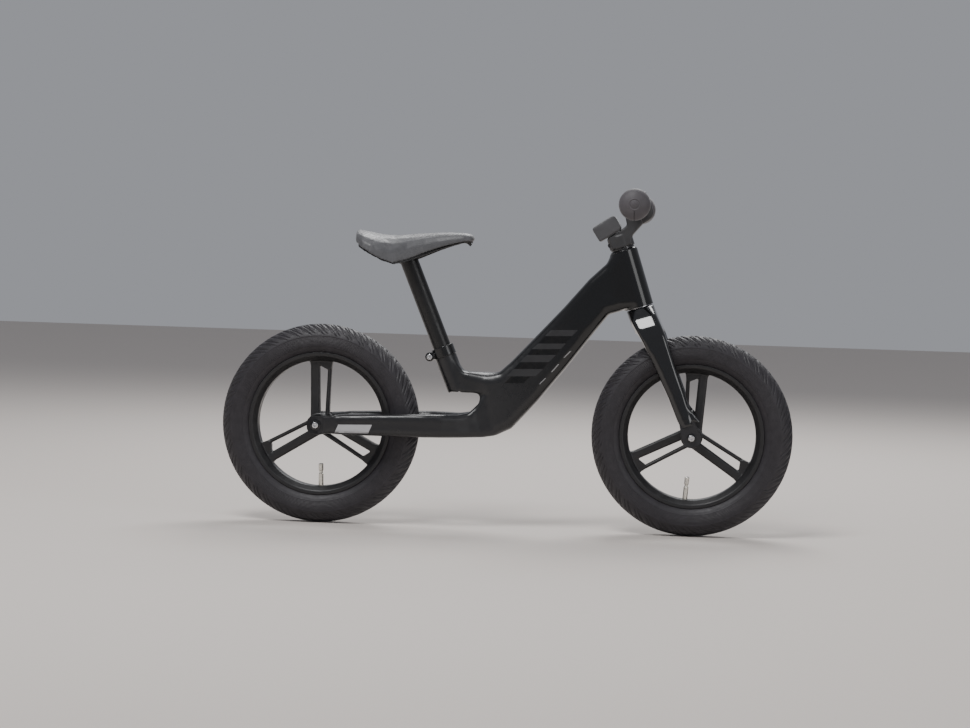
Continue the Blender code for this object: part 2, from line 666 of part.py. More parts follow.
def build_stem():
    """The stem: a clamp round the steerer, a pocket over its top cap, and half of the bar's clamp."""
    grey = own("stem", (0.035, 0.036, 0.038), 0.42, 0.3)
    stem = plate("stem", stem_outline(), STEM_HALF_WIDTH, grey, STEERING @ UPRIGHT, edge=0.005, edge_steps=1)
    column = rod(STEM_COLUMN_R, STEM_LOW, pad_rest(-STEM_COLUMN_R) - 0.0012)
    boolean(stem, turned("stem_column", column, frame=STEERING, cutter=True), "UNION")
    shoulder = STEM_LOW + STEM_CLAMP
    bore = rod(STEERER_R + GAP, STEM_LOW - 0.01, shoulder)
    boolean(stem, turned("stem_bore", bore, frame=STEERING, cutter=True))
    pocket = rod(CAP_POCKET_R, shoulder, shoulder + 0.044)
    boolean(stem, turned("cap_pocket", pocket, frame=STEERING, cutter=True))
    boolean(stem, bar_hole("stem_bar_hole"))
    bar = HEAD_TOP + STEM_RISE
    split_low = (STEM_REACH - SPLIT_HALF, -0.05, bar - 0.05)
    boolean(stem, block("stem_split", split_low, (0.15, 0.05, bar + 0.05), STEERING))
    thread = rod(STEM_BOLT_R + GAP, 0.0, 0.05)
    for name, level in STEM_BOLTS:
        frame = stem_bolt_frame(level)
        boolean(stem, turned("thread_" + name, thread, frame=frame, steps=SCREW_STEPS, cutter=True))
    pinch = pinch_frame()
    hole = rod(STEM_BOLT_R + GAP, -PINCH_HALF - 0.0015, 0.03)
    boolean(stem, turned("pinch_hole", hole, frame=pinch, steps=SCREW_STEPS, cutter=True))
    sink = rod(STEM_BOLT_HEAD_R + GAP, PINCH_HALF, 0.03)
    boolean(stem, turned("pinch_sink", sink, frame=pinch, steps=SMALL_STEPS, cutter=True))
    slot_low = (-STEM_COLUMN_R - 0.02, -0.001, STEM_LOW - 0.01)
    slot_high = (-STEERER_R + 0.002, 0.001, STEM_LOW + 0.05)
    boolean(stem, block("stem_slot", slot_low, slot_high, STEERING))
    return stem


def stem_bolt_frame(level):
    """Z points forward out of the faceplate, from inside the stem's arm."""
    centre = steered(HEAD_TOP + STEM_RISE + level, STEM_REACH - 0.015)
    return Matrix.Translation(centre) @ Matrix.Rotation(HEAD_ANGLE, 4, "Y")


def pinch_frame():
    """Across the back of the steerer clamp, with Z to the left."""
    return Matrix.Translation(steered(STEM_LOW + STEM_CLAMP / 2, -STEERER_R - STEM_BOLT_R)) @ ALONG_Y


def build_faceplate():
    grey = own("stem_faceplate", (0.035, 0.036, 0.038), 0.42, 0.3)
    face = plate("stem_faceplate", stem_outline(), STEM_HALF_WIDTH, grey, STEERING @ UPRIGHT, edge=0.005,
                 edge_steps=1)
    bar = HEAD_TOP + STEM_RISE
    behind_split = block("faceplate_split", (-0.1, -0.05, HEAD_TOP - 0.02),
                         (STEM_REACH + SPLIT_HALF, 0.05, bar + 0.08), STEERING)
    boolean(face, behind_split)
    boolean(face, bar_hole("faceplate_bar_hole"))
    pieces = [face]
    seat = 0.015 + BAR_R + 0.0024
    hole = rod(STEM_BOLT_R + GAP, 0.0, 0.06)
    sink = rod(STEM_BOLT_HEAD_R + GAP, seat, 0.06)
    for name, level in STEM_BOLTS:
        frame = stem_bolt_frame(level)
        boolean(face, turned("face_hole_" + name, hole, frame=frame, steps=SCREW_STEPS, cutter=True))
        boolean(face, turned("face_sink_" + name, sink, frame=frame, steps=SMALL_STEPS, cutter=True))
        black = own("stem_bolt_" + name, (0.05, 0.05, 0.052), 0.3, 1.0)
        pieces.append(screw_piece("stem_bolt_" + name, frame, STEM_BOLT_R, 0.002, seat + GAP,
                                  STEM_BOLT_HEAD_R, 0.004, black))
    return pieces


def screw_piece(name, frame, shank_r, low, seat, head_r, head, material):
    """A socket-head screw along Z: its tip at low, its head resting on seat."""
    socket = shank_r * 0.62
    top = seat + head
    profile = [(0, top - head * 0.6), (socket, top - head * 0.6), (socket, top), (head_r - 0.0005, top),
               (head_r, top - 0.0005), (head_r, seat), (shank_r, seat), (shank_r, low), (0, low)]
    return turned(name, profile, material, frame, SCREW_STEPS)


def build_bars():
    centre = Matrix.Translation(steered(HEAD_TOP + STEM_RISE, STEM_REACH))
    half = BAR_HALF_WIDTH - GRIP_END_WALL - GAP
    bar = turned("handlebar", ring(BAR_R, BAR_R - BAR_WALL, -half, half),
                 own("handlebar", (0.02, 0.02, 0.022), 0.35, 0.5), centre @ ALONG_Y)
    pieces = [bar]
    for name, side in LEFT_RIGHT:
        flip = Matrix.Identity(4) if side > 0 else HALF_TURN
        pieces.append(turned("grip_" + name, grip_profile(), own("grip_" + name, (0.05, 0.045, 0.05), 0.6),
                             centre @ flip @ ALONG_Y))
    return pieces


def grip_profile():
    """A child's grip: round safety end, waisted handle with ribs, and a flange on the inside."""
    end = BAR_HALF_WIDTH
    start = end - GRIP_LENGTH
    bulb = end - 0.0145
    dome = [(GRIP_BULB_R * math.sin(angle), bulb + 0.0145 * math.cos(angle))
            for angle in (0.0, 0.55, 1.1, math.pi / 2)]
    neck = [(GRIP_BULB_R * 0.90, bulb - 0.007), (GRIP_R, bulb - 0.016), (GRIP_R, start + 0.010),
            (0.0185, start + 0.006), (0.0185, start)]
    inner = BAR_R + GAP
    return dome + neck + [(inner, start), (inner, end - GRIP_END_WALL), (0, end - GRIP_END_WALL)]


def build_pad():
    """The soft block behind the bar, lying on the stem's slope."""
    middle_ahead = -STEM_COLUMN_R + 0.0087
    along = Vector((math.cos(PAD_SLOPE), math.sin(PAD_SLOPE)))
    normal = Vector((-along.y, along.x))
    middle = Vector((middle_ahead, pad_rest(middle_ahead))) + normal * (GAP + PAD_HEIGHT / 2)
    corners = []
    for lengthwise, upward, radius in ((-1, -1, 0.002), (1, -1, 0.006), (1, 1, 0.004), (-1, 1, 0.004)):
        corner = middle + along * lengthwise * PAD_LENGTH / 2 + normal * upward * PAD_HEIGHT / 2
        corners.append((corner.x, corner.y, radius))
    return plate("stem_pad", filleted(corners), PAD_HALF_WIDTH, own("stem_pad", (0.09, 0.09, 0.095), 0.6),
                 STEERING @ UPRIGHT, edge=0.003)


def build_top_cap():
    """The cap over the steerer, and the bolt and nut that pull the headset together."""
    low = STEM_LOW + STEM_CLAMP + GAP
    top = low + CAP_THICK
    bore = CAP_BOLT_R + 0.0004
    cap = ring(CAP_POCKET_R - 0.0004, bore, low, top)
    nut = ring(STEERER_BORE_R - GAP, bore, low - 0.016, low - 0.009)
    bolt = screw_piece("top_cap_bolt", STEERING, CAP_BOLT_R, low - 0.018, top + GAP, 0.0042, 0.0016,
                       own("top_cap_bolt", (0.05, 0.05, 0.052), 0.3, 1.0))
    return [turned("top_cap", cap, own("top_cap", (0.02, 0.02, 0.022), 0.3, 0.6), STEERING), bolt,
            turned("star_nut", nut, own("star_nut", (0.5, 0.5, 0.5), 0.4, 1.0), STEERING)]


def build_pinch_bolt():
    return screw_piece("stem_pinch_bolt", pinch_frame(), STEM_BOLT_R, -PINCH_HALF - 0.001, PINCH_HALF + GAP,
                       STEM_BOLT_HEAD_R, 0.0022, own("stem_pinch_bolt", (0.05, 0.05, 0.052), 0.3, 1.0))


# Wheels -----------------------------------------------------------------------------------


def mirrored(half):
    """A profile's half from one rim edge to the mid-plane, and the same back to the other edge."""
    return half + [(radius, -y) for radius, y in reversed(half)]


def rim_profile():
    """A box rim: two lips, the bead seats with a well between them, and a narrower inner face."""
    wall = RIM_LIP_HALF - RIM_LIP
    outer = mirrored([(RIM_LIP_R, RIM_LIP_HALF - 0.0004), (RIM_LIP_R, wall), (BEAD_SEAT_R, wall - 0.0012),
                      (BEAD_SEAT_R - 0.0006, 0.0095)])
    inner = mirrored([(RIM_LIP_R - 0.0055, -RIM_LIP_HALF + 0.0010), (RIM_INNER_R, -RIM_INNER_HALF)])
    return outer + inner


def hub_outside():
    """The hub's barrel, waisted between its ends."""
    return mirrored([(HUB_END_R, HUB_HALF), (HUB_END_R, HUB_HALF - 0.010), (HUB_WAIST_R, HUB_HALF - 0.014)])


def hub_bore():
    """The hub's way through, wider at both ends for the bearings."""
    pocket = BEARING_R + GAP / 3
    waist = BEARING_R - 0.002
    floor = HUB_HALF - BEARING_WIDTH - GAP
    past = HUB_HALF + 0.01
    return [(0, past)] + mirrored([(pocket, past), (pocket, floor), (waist, floor)]) + [(0, -past)]


def spoke(name, frame, offset, end_offset, width, hub_thick, rim_thick):
    """A bar of the casting, in a frame whose X runs out along its arm."""
    end = rim_reach(abs(end_offset) + width / 2)
    middle = (BEAD_SEAT_R + HUB_WAIST_R) / 2 - 0.0025
    sections = []
    for reach, aside, thick in ((HUB_WAIST_R * 0.70, offset, hub_thick),
                                (middle, (offset + end_offset) / 2, rim_thick),
                                (end, end_offset, rim_thick)):
        centre = Vector((reach, aside, 0))
        sections.append(rounded(centre, Vector((0, 0, 1)), SIDEWAYS, thick, width / 2, 0.0022, 1))
    return loft(name, sections, frame=frame, cutter=True)


def rim_reach(aside):
    """How far out along an arm the rim's inner wall is well met, at a distance to the arm's side."""
    return math.sqrt((RIM_INNER_R + 0.0025) ** 2 - aside ** 2)


def foot_outline(flip):
    """The slanted foot that joins an arm's two spokes at the rim, closed by an arc inside the rim."""
    arc = [(rim_reach(y) - 0.0005, y) for y in (-0.0165, -0.008, 0.001, 0.010, 0.0195)]
    inside = [(RIM_INNER_R - down, y) for down, y in (
        (0.0118, 0.0172), (0.0158, 0.0135), (0.0068, -0.0030), (0.0118, -0.0135))]
    return [(x, y * flip) for x, y in arc + inside][::flip]


def build_wheel(place_name, centre, heading, flip):
    """The one-piece cast wheel. Its three arms each hold a wide spoke, a thin one and a slanted foot."""
    frame = Matrix.Translation(centre) @ ALONG_Y
    colour = own(place_name + "_wheel", (0.022, 0.022, 0.024), 0.45)
    wheel = turned(place_name + "_wheel", rim_profile(), colour, frame, WHEEL_STEPS)
    for arm in range(SPOKES):
        around = frame @ Matrix.Rotation(heading + arm * math.tau / SPOKES, 4, "Z")
        tag = f"{place_name}_{arm}"
        wide_at = -flip * WIDE_SPOKE_OFFSET
        wide = spoke("wide_" + tag, around, wide_at, wide_at, WIDE_SPOKE, 0.0115, 0.0080)
        thin = spoke("thin_" + tag, around, flip * (THIN_SPOKE_OFFSET - 0.0053), flip * THIN_SPOKE_OFFSET,
                     THIN_SPOKE, 0.0100, 0.0065)
        foot = plate("foot_" + tag, foot_outline(flip), 0.0072, frame=around, cutter=True)
        for obj in (wide, thin, foot):
            boolean(wheel, obj, "UNION")
    barrel = [(0, HUB_HALF)] + hub_outside() + [(0, -HUB_HALF)]
    boolean(wheel, turned(place_name + "_hub", barrel, frame=frame, cutter=True), "UNION")
    bore = turned(place_name + "_hub_bore", hub_bore(), frame=frame, steps=SMALL_STEPS, cutter=True)
    boolean(wheel, bore)
    hole = rod(VALVE_R + GAP, -0.012, 0.012)
    boolean(wheel, turned(place_name + "_valve_hole", hole, frame=valve_frame(centre, heading),
                          steps=SMALL_STEPS, cutter=True))
    return wheel


def valve_frame(centre, heading):
    """At the rim, opposite the first arm, with Z pointing to the hub."""
    inward = Vector((math.cos(heading), 0, -math.sin(heading)))
    at = centre - inward * RIM_INNER_R
    return Matrix.Translation(at) @ inward.to_track_quat("Z", "Y").to_matrix().to_4x4()


def horseshoe(radius, reach, steps, turn=1):
    """An open arc of the tyre's section about its own centre, to both sides of the crown."""
    crown_r = BEAD_SEAT_R + TYRE_HEIGHT - TYRE_SECTION_R
    angles = [turn * reach * t / steps for t in range(steps, -steps - 1, -1)]
    return [(crown_r + radius * math.cos(angle), radius * math.sin(angle)) for angle in angles]


def tyre_profile():
    """The carcass as a horseshoe that grips the rim with two beads."""
    crown_r = BEAD_SEAT_R + TYRE_HEIGHT - TYRE_SECTION_R
    cavity = TYRE_SECTION_R - TYRE_WALL
    outer = horseshoe(TYRE_SECTION_R, math.acos((RIM_LIP_R + 0.0012 - crown_r) / TYRE_SECTION_R), 5)
    inner = horseshoe(cavity, math.acos((RIM_LIP_R + 0.0035 - crown_r) / cavity), 3, -1)
    wall = RIM_LIP_HALF - RIM_LIP
    lip = (RIM_LIP_R + 0.0006, wall - GAP)
    low = BEAD_SEAT_R + GAP
    bead_out = wall - 0.0012 - 2 * GAP
    bead_in = bead_out - BEAD_WIDTH
    return ([(low, bead_out), lip] + outer + [(lip[0], -lip[1]), (low, -bead_out), (low, -bead_in)]
            + inner + [(low, bead_in)])


def tube_profile():
    """The inner tube, a thin wall all round but for a slit at the rim."""
    outer_r = (TYRE_SECTION_R - TYRE_WALL) * 0.88
    reach = math.radians(160)
    return horseshoe(outer_r, reach, 3) + horseshoe(outer_r - TUBE_WALL, reach, 3, -1)


def build_rolling(place_name, centre, heading, flip):
    """What turns with one wheel: wheel, tyre, inner tube, valve and the two bearings."""
    frame = Matrix.Translation(centre) @ ALONG_Y
    rubber = own(place_name + "_tyre", (0.03, 0.028, 0.03), 0.75)
    butyl = own(place_name + "_inner_tube", (0.02, 0.02, 0.02), 0.6)
    pieces = [
        build_wheel(place_name, centre, heading, flip),
        turned(place_name + "_tyre", tyre_profile(), rubber, frame, WHEEL_STEPS),
        turned(place_name + "_inner_tube", tube_profile(), butyl, frame, WHEEL_STEPS // 2),
        build_valve(place_name, centre, heading),
    ]
    bearing = ring(BEARING_R, AXLE_R + GAP / 3, HUB_HALF - BEARING_WIDTH, HUB_HALF)
    for name, side in LEFT_RIGHT:
        face = frame if side > 0 else frame @ HALF_TURN
        tag = f"{place_name}_bearing_{name}"
        pieces.append(turned(tag, bearing, own(tag, (0.55, 0.55, 0.56), 0.25, 1.0), face, SMALL_STEPS))
    return pieces


def build_held(place_name, centre, hub_width, washer_r):
    """What the dropouts hold still: the axle, and a spacer, a washer and a bolt at each end of it."""
    frame = Matrix.Translation(centre) @ ALONG_Y
    wall = hub_width / 2
    outside = wall + DROPOUT_THICK
    axle = ring(AXLE_R, AXLE_BORE_R, -wall + GAP, wall - GAP)
    inner = AXLE_R + GAP
    spacer = [(SPACER_R, wall - GAP), (SPACER_FLANGE_R, HUB_HALF + 0.0035),
              (SPACER_FLANGE_R, HUB_HALF + 0.0014), (SPACER_R, HUB_HALF + GAP), (inner, HUB_HALF + GAP),
              (inner, wall - GAP)]
    washer = ring(washer_r, AXLE_BOLT_R + GAP, outside + GAP, outside + GAP + WASHER_THICK)
    tag = place_name + "_axle"
    pieces = [turned(tag, axle, own(tag, (0.5, 0.5, 0.5), 0.3, 1.0), frame, SMALL_STEPS)]
    for name, side in LEFT_RIGHT:
        face = frame if side > 0 else frame @ HALF_TURN
        tag = f"{place_name}_spacer_{name}"
        pieces.append(turned(tag, spacer, own(tag, (0.03, 0.03, 0.03), 0.4, 0.8), face, SMALL_STEPS))
        tag = f"{place_name}_washer_{name}"
        pieces.append(turned(tag, washer, own(tag, (0.02, 0.02, 0.02), 0.35, 0.6), face, SMALL_STEPS))
        tag = f"{place_name}_axle_bolt_{name}"
        pieces.append(screw_piece(tag, face, AXLE_BOLT_R, wall - AXLE_BOLT_REACH,
                                  outside + WASHER_THICK + 2 * GAP, AXLE_BOLT_HEAD_R, AXLE_BOLT_HEAD,
                                  own(tag, (0.65, 0.65, 0.66), 0.25, 1.0)))
    return pieces


def build_valve(place_name, centre, heading):
    """A Schrader valve through the rim: a rubber-clad foot, the bare stem, and its cap towards the hub."""
    top = VALVE_LENGTH
    cap = VALVE_R - 0.0001
    neck = VALVE_R - 0.0011
    profile = [(0, top), (cap - 0.0008, top), (cap, top - 0.001), (cap, top - 0.011), (neck, top - 0.0115),
               (neck, top - 0.015), (VALVE_R, top - 0.0155), (VALVE_R, RIM_INNER_R - BEAD_SEAT_R - 0.0005),
               (0, RIM_INNER_R - BEAD_SEAT_R - 0.0005)]
    return turned(place_name + "_valve", profile, own(place_name + "_valve", (0.75, 0.74, 0.7), 0.25, 1.0),
                  valve_frame(centre, heading), SCREW_STEPS)


# Seat -------------------------------------------------------------------------------------

# Saddle stations: ahead of its datum, then the heights of the crown and of the skirt's edge, the
# half-width, and how far the shell shows below the skirt.
SADDLE_STATIONS = (
    (-0.0755, 0.0350, 0.0235, 0.0300, 0.0080),
    (-0.0730, 0.0375, 0.0175, 0.0460, 0.0070),
    (-0.0620, 0.0352, 0.0090, 0.0600, 0.0045),
    (-0.0480, 0.0322, 0.0005, 0.0645, 0.0030),
    (-0.0330, 0.0300, -0.0070, 0.0625, 0.0025),
    (-0.0160, 0.0296, -0.0122, 0.0560, 0.0020),
    (0.0040, 0.0315, -0.0065, 0.0440, 0.0030),
    (0.0290, 0.0340, 0.0043, 0.0325, 0.0040),
    (0.0490, 0.0359, 0.0120, 0.0262, 0.0038),
    (0.0680, 0.0367, 0.0178, 0.0228, 0.0030),
    (0.0870, 0.0367, 0.0226, 0.0200, 0.0022),
    (0.0980, 0.0345, 0.0240, 0.0150, 0.0018),
    (0.1025, 0.0300, 0.0245, 0.0070, 0.0015),
)
SADDLE_REST = (SADDLE_STATIONS[5], SADDLE_STATIONS[7])  # the shell lies on the post's head at these
SADDLE_ARCH = 5  # points from the crown to the skirt's edge
SHELL_OUTSIDE = (SADDLE_PAD + 2 * GAP, SADDLE_SKIRT + 2 * GAP)  # below the cover, at crown and skirt
SHELL_INSIDE = (SHELL_OUTSIDE[0] + SADDLE_SHELL, SHELL_OUTSIDE[1] + SADDLE_SHELL)


def saddle_arch(station, depths, lip):
    """An arch across the saddle, sunk by one depth at the crown and by another at the skirt's edge."""
    ahead, crown, edge, half, _ = station
    crown_depth, skirt_depth = depths
    rear, nose = SADDLE_STATIONS[0][0], SADDLE_STATIONS[-1][0]
    middle = (rear + nose) / 2
    x = middle + (ahead - middle) * (1 - 2 * skirt_depth / (nose - rear))
    points = []
    for step in range(-SADDLE_ARCH, SADDLE_ARCH + 1):
        share = step / SADDLE_ARCH
        fall = abs(share) ** 2.4
        depth = crown_depth + (skirt_depth - crown_depth) * share ** 2
        width = max(half - 0.85 * depth, 0.002)
        level = crown - (crown - edge) * fall - depth * (1 - fall) - lip * fall
        points.append(seated(SADDLE_RISE, 0) + Vector((x, -width * math.sin(share * math.pi / 2), level)))
    return points


def saddle_layer(name, outside, inside, lipped, material):
    """A solid layer of the saddle, between arches of two depths."""
    sections = []
    for station in SADDLE_STATIONS:
        lip = station[-1] if lipped else 0
        sections.append(saddle_arch(station, outside, lip) + saddle_arch(station, inside, lip)[::-1])
    return loft(name, sections, material)


def saddle_seat():
    """The plane on which the shell lies, where the post's axis meets it: X to the front, Z up."""
    rests = []
    for station in SADDLE_REST:
        arch = saddle_arch(station, SHELL_INSIDE, station[-1])
        inner, outer = next(pair for pair in zip(arch, arch[1:]) if pair[1].y <= -POST_HEAD_HALF_WIDTH)
        share = (-POST_HEAD_HALF_WIDTH - inner.y) / (outer.y - inner.y)
        rests.append(Vector((inner.x, 0, inner.z + share * (outer.z - inner.z) - GAP)))
    along = (rests[1] - rests[0]).normalized()
    normal = along.cross(SIDEWAYS)
    axis = seated(1, 0) - seated(0, 0)
    origin = seated((rests[0] - SEAT_FOOT).dot(normal) / axis.dot(normal), 0)
    return Matrix.Translation(origin) @ Matrix((along, SIDEWAYS, normal)).transposed().to_4x4()


def saddle_screw_frames():
    for place_name, side in (("rear", -1), ("front", 1)):
        ahead = (POST_HEAD_NOSE + side * SADDLE_SCREW_SPACING) / 2
        yield place_name, saddle_seat() @ Matrix.Translation((ahead, 0, 0))


def build_saddle():
    """The padded cover over a stiff shell, which two screws hold down on the post's head."""
    cover = saddle_layer("saddle_cover", (0, 0), (SADDLE_PAD, SADDLE_SKIRT), False,
                         own("saddle_cover", (0.12, 0.12, 0.125), 0.5))
    shell = saddle_layer("saddle_shell", SHELL_OUTSIDE, SHELL_INSIDE, True,
                         own("saddle_shell", (0.015, 0.015, 0.016), 0.4))
    pieces = [cover, shell]
    for name, frame in saddle_screw_frames():
        hole = rod(SADDLE_SCREW_R + GAP, -0.01, 0.02)
        sink = rod(SADDLE_SCREW_HEAD_R + GAP, SADDLE_SCREW_SEAT, 0.02)
        boolean(shell, turned("shell_hole_" + name, hole, frame=frame, steps=SCREW_STEPS, cutter=True))
        boolean(shell, turned("shell_sink_" + name, sink, frame=frame, steps=SMALL_STEPS, cutter=True))
        pieces.append(screw_piece("saddle_screw_" + name, frame, SADDLE_SCREW_R, -SADDLE_SCREW_REACH,
                                  SADDLE_SCREW_SEAT + GAP, SADDLE_SCREW_HEAD_R, SADDLE_SCREW_HEAD,
                                  own("saddle_screw_" + name, (0.5, 0.5, 0.5), 0.3, 1.0)))
    return pieces


def build_post():
    """The post, whose solid head spreads forward to a flat top under the saddle's shell."""
    low = SEAT_TUBE_LENGTH - POST_INSERTION
    shoulder = SADDLE_RISE - POST_HEAD_DEPTH
    bore = POST_R - POST_WALL
    profile = [(0, shoulder + 0.004), (POST_R, shoulder + 0.004), (POST_R, low), (bore, low),
               (bore, shoulder - 0.006), (0, shoulder - 0.006)]
    post = turned("seatpost", profile, own("seatpost", (0.02, 0.02, 0.022), 0.4, 0.2), SEATING)
    seat = saddle_seat()
    ahead = seated(0, 1) - seated(0, 0)
    foot = rounded(seated(shoulder, 0), ahead, SIDEWAYS, POST_R - GAP, POST_R - GAP, POST_R, 4)
    top = rounded(seat @ Vector((POST_HEAD_NOSE / 2, 0, 0)), seat.col[0].to_3d(), SIDEWAYS,
                  POST_R / math.sin(SEAT_ANGLE) + POST_HEAD_NOSE / 2, POST_HEAD_HALF_WIDTH, 0.009, 4)
    boolean(post, loft("post_head", [foot, top], cutter=True), "UNION")
    for name, frame in saddle_screw_frames():
        hole = rod(SADDLE_SCREW_R + GAP, -SADDLE_SCREW_REACH - 0.001, 0.01)
        boolean(post, turned("post_hole_" + name, hole, frame=frame, steps=SCREW_STEPS, cutter=True))
    return post


def build_collar():
    """The clamp round the seat tube's neck, split at its ears, with the bolt and nut that close it."""
    low = SEAT_TUBE_LENGTH - COLLAR_HEIGHT + GAP
    high = low + COLLAR_HEIGHT
    inner = SEAT_NECK_R + GAP
    outer = inner + COLLAR_WALL
    ear_out = outer + COLLAR_EAR_R - COLLAR_EAR_SUNK
    ear = Matrix.Translation(seated((low + high) / 2, -ear_out)) @ ALONG_Y
    black = own("seat_collar", (0.015, 0.015, 0.016), 0.3, 0.6)
    collar = turned("seat_collar", [(0, high), (outer, high), (outer, low), (0, low)], black, SEATING)
    knuckle = rod(COLLAR_EAR_R, -COLLAR_EAR_HALF, COLLAR_EAR_HALF)
    boolean(collar, turned("ear", knuckle, frame=ear, steps=SMALL_STEPS, cutter=True), "UNION")
    web_half = COLLAR_EAR_HALF - 0.001
    web = block("ear_web", (-ear_out, -web_half, low + 0.002), (-inner, web_half, high - 0.002), SEATING)
    boolean(collar, web, "UNION")
    boolean(collar, turned("collar_bore", rod(inner, low - 0.01, high + 0.01), frame=SEATING, cutter=True))
    slot_half = SEAT_SLOT / 2
    slot = block("collar_slot", (-0.05, -slot_half, low - 0.01), (-0.005, slot_half, high + 0.01), SEATING)
    boolean(collar, slot)
    hole = rod(COLLAR_BOLT_R + GAP, -0.05, 0.05)
    boolean(collar, turned("collar_bolt_hole", hole, frame=ear, steps=SMALL_STEPS, cutter=True))
    seat = COLLAR_EAR_HALF + GAP
    silver = own("seat_collar_bolt", (0.65, 0.65, 0.66), 0.25, 1.0)
    bolt = screw_piece("seat_collar_bolt", ear @ HALF_TURN, COLLAR_BOLT_R, -COLLAR_EAR_HALF - 0.003, seat,
                       COLLAR_BOLT_HEAD_R, COLLAR_BOLT_HEAD, silver)
    bore = (COLLAR_BOLT_R + GAP) / math.cos(math.pi / 6)  # at the flats' middles
    nut = turned("seat_collar_nut", ring(COLLAR_NUT_R, bore, seat, seat + COLLAR_NUT),
                 own("seat_collar_nut", (0.6, 0.6, 0.6), 0.3, 1.0), ear, 6)
    return [collar, bolt, nut]


# Assembly ---------------------------------------------------------------------------------


def main():
    clear_scene()
    build_frame()
    build_dropouts("rear", REAR_HUB_WIDTH, rear_outline)
    build_collar()
    fork_pieces = build_headset() + build_fork() + build_dropouts("front", FRONT_HUB_WIDTH, front_outline)
    stem_pieces = [build_stem(), build_pinch_bolt(), build_pad()] + build_faceplate() + build_top_cap()
    stem_pieces += build_bars()
    front_held = build_held("front", FRONT_AXLE, FRONT_HUB_WIDTH, FRONT_WASHER_R)
    build_held("rear", REAR_AXLE, REAR_HUB_WIDTH, REAR_WASHER_R)
    hang_on("steering_axis", STEERING, fork_pieces + stem_pieces + front_held)
    front_rolling = build_rolling("front", FRONT_AXLE, FRONT_ARM, -1)
    hang_on("front_wheel_axis", Matrix.Translation(FRONT_AXLE), front_rolling)
    hang_on("rear_wheel_axis", Matrix.Translation(REAR_AXLE), build_rolling("rear", REAR_AXLE, REAR_ARM, 1))
    hang_on("seat_height_axis", SEATING, [build_post()] + build_saddle())


main()
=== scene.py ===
import json
import math

import bmesh
import bpy
import numpy as np
from mathutils import Matrix, Vector
from mathutils.bvhtree import BVHTree

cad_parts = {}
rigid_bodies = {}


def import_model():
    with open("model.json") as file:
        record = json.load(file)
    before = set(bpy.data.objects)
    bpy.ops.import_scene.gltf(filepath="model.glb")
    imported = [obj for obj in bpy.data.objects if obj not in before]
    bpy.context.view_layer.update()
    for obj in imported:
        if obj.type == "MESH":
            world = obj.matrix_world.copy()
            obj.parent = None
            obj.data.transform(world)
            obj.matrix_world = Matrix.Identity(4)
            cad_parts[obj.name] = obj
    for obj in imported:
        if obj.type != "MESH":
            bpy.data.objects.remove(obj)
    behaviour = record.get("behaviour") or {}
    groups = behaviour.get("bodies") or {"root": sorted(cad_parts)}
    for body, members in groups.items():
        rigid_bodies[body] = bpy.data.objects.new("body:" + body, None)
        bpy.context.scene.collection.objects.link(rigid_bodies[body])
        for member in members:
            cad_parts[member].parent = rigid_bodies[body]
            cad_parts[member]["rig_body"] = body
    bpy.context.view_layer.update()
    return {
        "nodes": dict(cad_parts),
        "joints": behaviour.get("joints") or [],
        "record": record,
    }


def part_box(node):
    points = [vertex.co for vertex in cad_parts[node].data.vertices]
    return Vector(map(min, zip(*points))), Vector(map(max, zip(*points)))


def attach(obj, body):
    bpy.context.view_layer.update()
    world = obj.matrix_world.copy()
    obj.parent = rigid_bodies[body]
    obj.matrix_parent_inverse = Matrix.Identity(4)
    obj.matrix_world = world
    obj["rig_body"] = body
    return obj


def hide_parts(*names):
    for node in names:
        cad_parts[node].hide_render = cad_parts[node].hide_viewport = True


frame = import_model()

NODES = frame["nodes"]

# The camera's place round the bike, in degrees and metres, and what it looks at
CAMERA_AZIMUTH = 4.894
CAMERA_ELEVATION = 2.460
CAMERA_ROLL = 1.712
CAMERA_DISTANCE = 3.840
CAMERA_TARGET = Vector((-0.0336, 0.0, 0.2489))
CAMERA_LENS = 94.18

LEFT_RIGHT = (("left", 1), ("right", -1))
TURN_STEPS = 64
CAD_TUBE_STEPS = 20  # the CAD's facets round a tube, a wheel and an axle bolt
CAD_WHEEL_STEPS = 32
CAD_BOLT_STEPS = 10
ALL_RADII = 1.0  # a radius that takes in every point
ON_AXIS = 1e-7
GAP = 0.0003  # the clearance between a made piece and what sits in it
BEVEL_ANGLE = 35  # in degrees
SEAM = 1.5e-5  # how far apart the two sides of a CAD mesh's seam may lie


def joint(name):
    return next(entry for entry in frame["joints"] if entry["name"] == name)


def centre_of(node):
    low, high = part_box(node)
    return (low + high) / 2


def axis_frame(origin, z_axis, x_hint):
    """A frame whose Z lies along an axis, and whose X is as near as it gets to a hint."""
    z = Vector(z_axis).normalized()
    x = (Vector(x_hint) - z * Vector(x_hint).dot(z)).normalized()
    y = z.cross(x)
    return Matrix.Translation(origin) @ Matrix((x, y, z)).transposed().to_4x4()


STEER = joint("steering_turn")
STEERING = axis_frame(Vector(STEER["pos_m"]), STEER["axis"], (1, 0, 0))
SEAT_AXIS = Vector(joint("seat_height")["axis"]).normalized()
FRONT_AXLE = Vector(joint("front_wheel_spin")["pos_m"])
REAR_AXLE = Vector(joint("rear_wheel_spin")["pos_m"])
BAR_CENTRE = Vector((centre_of("handlebar").x, 0, centre_of("handlebar").z))


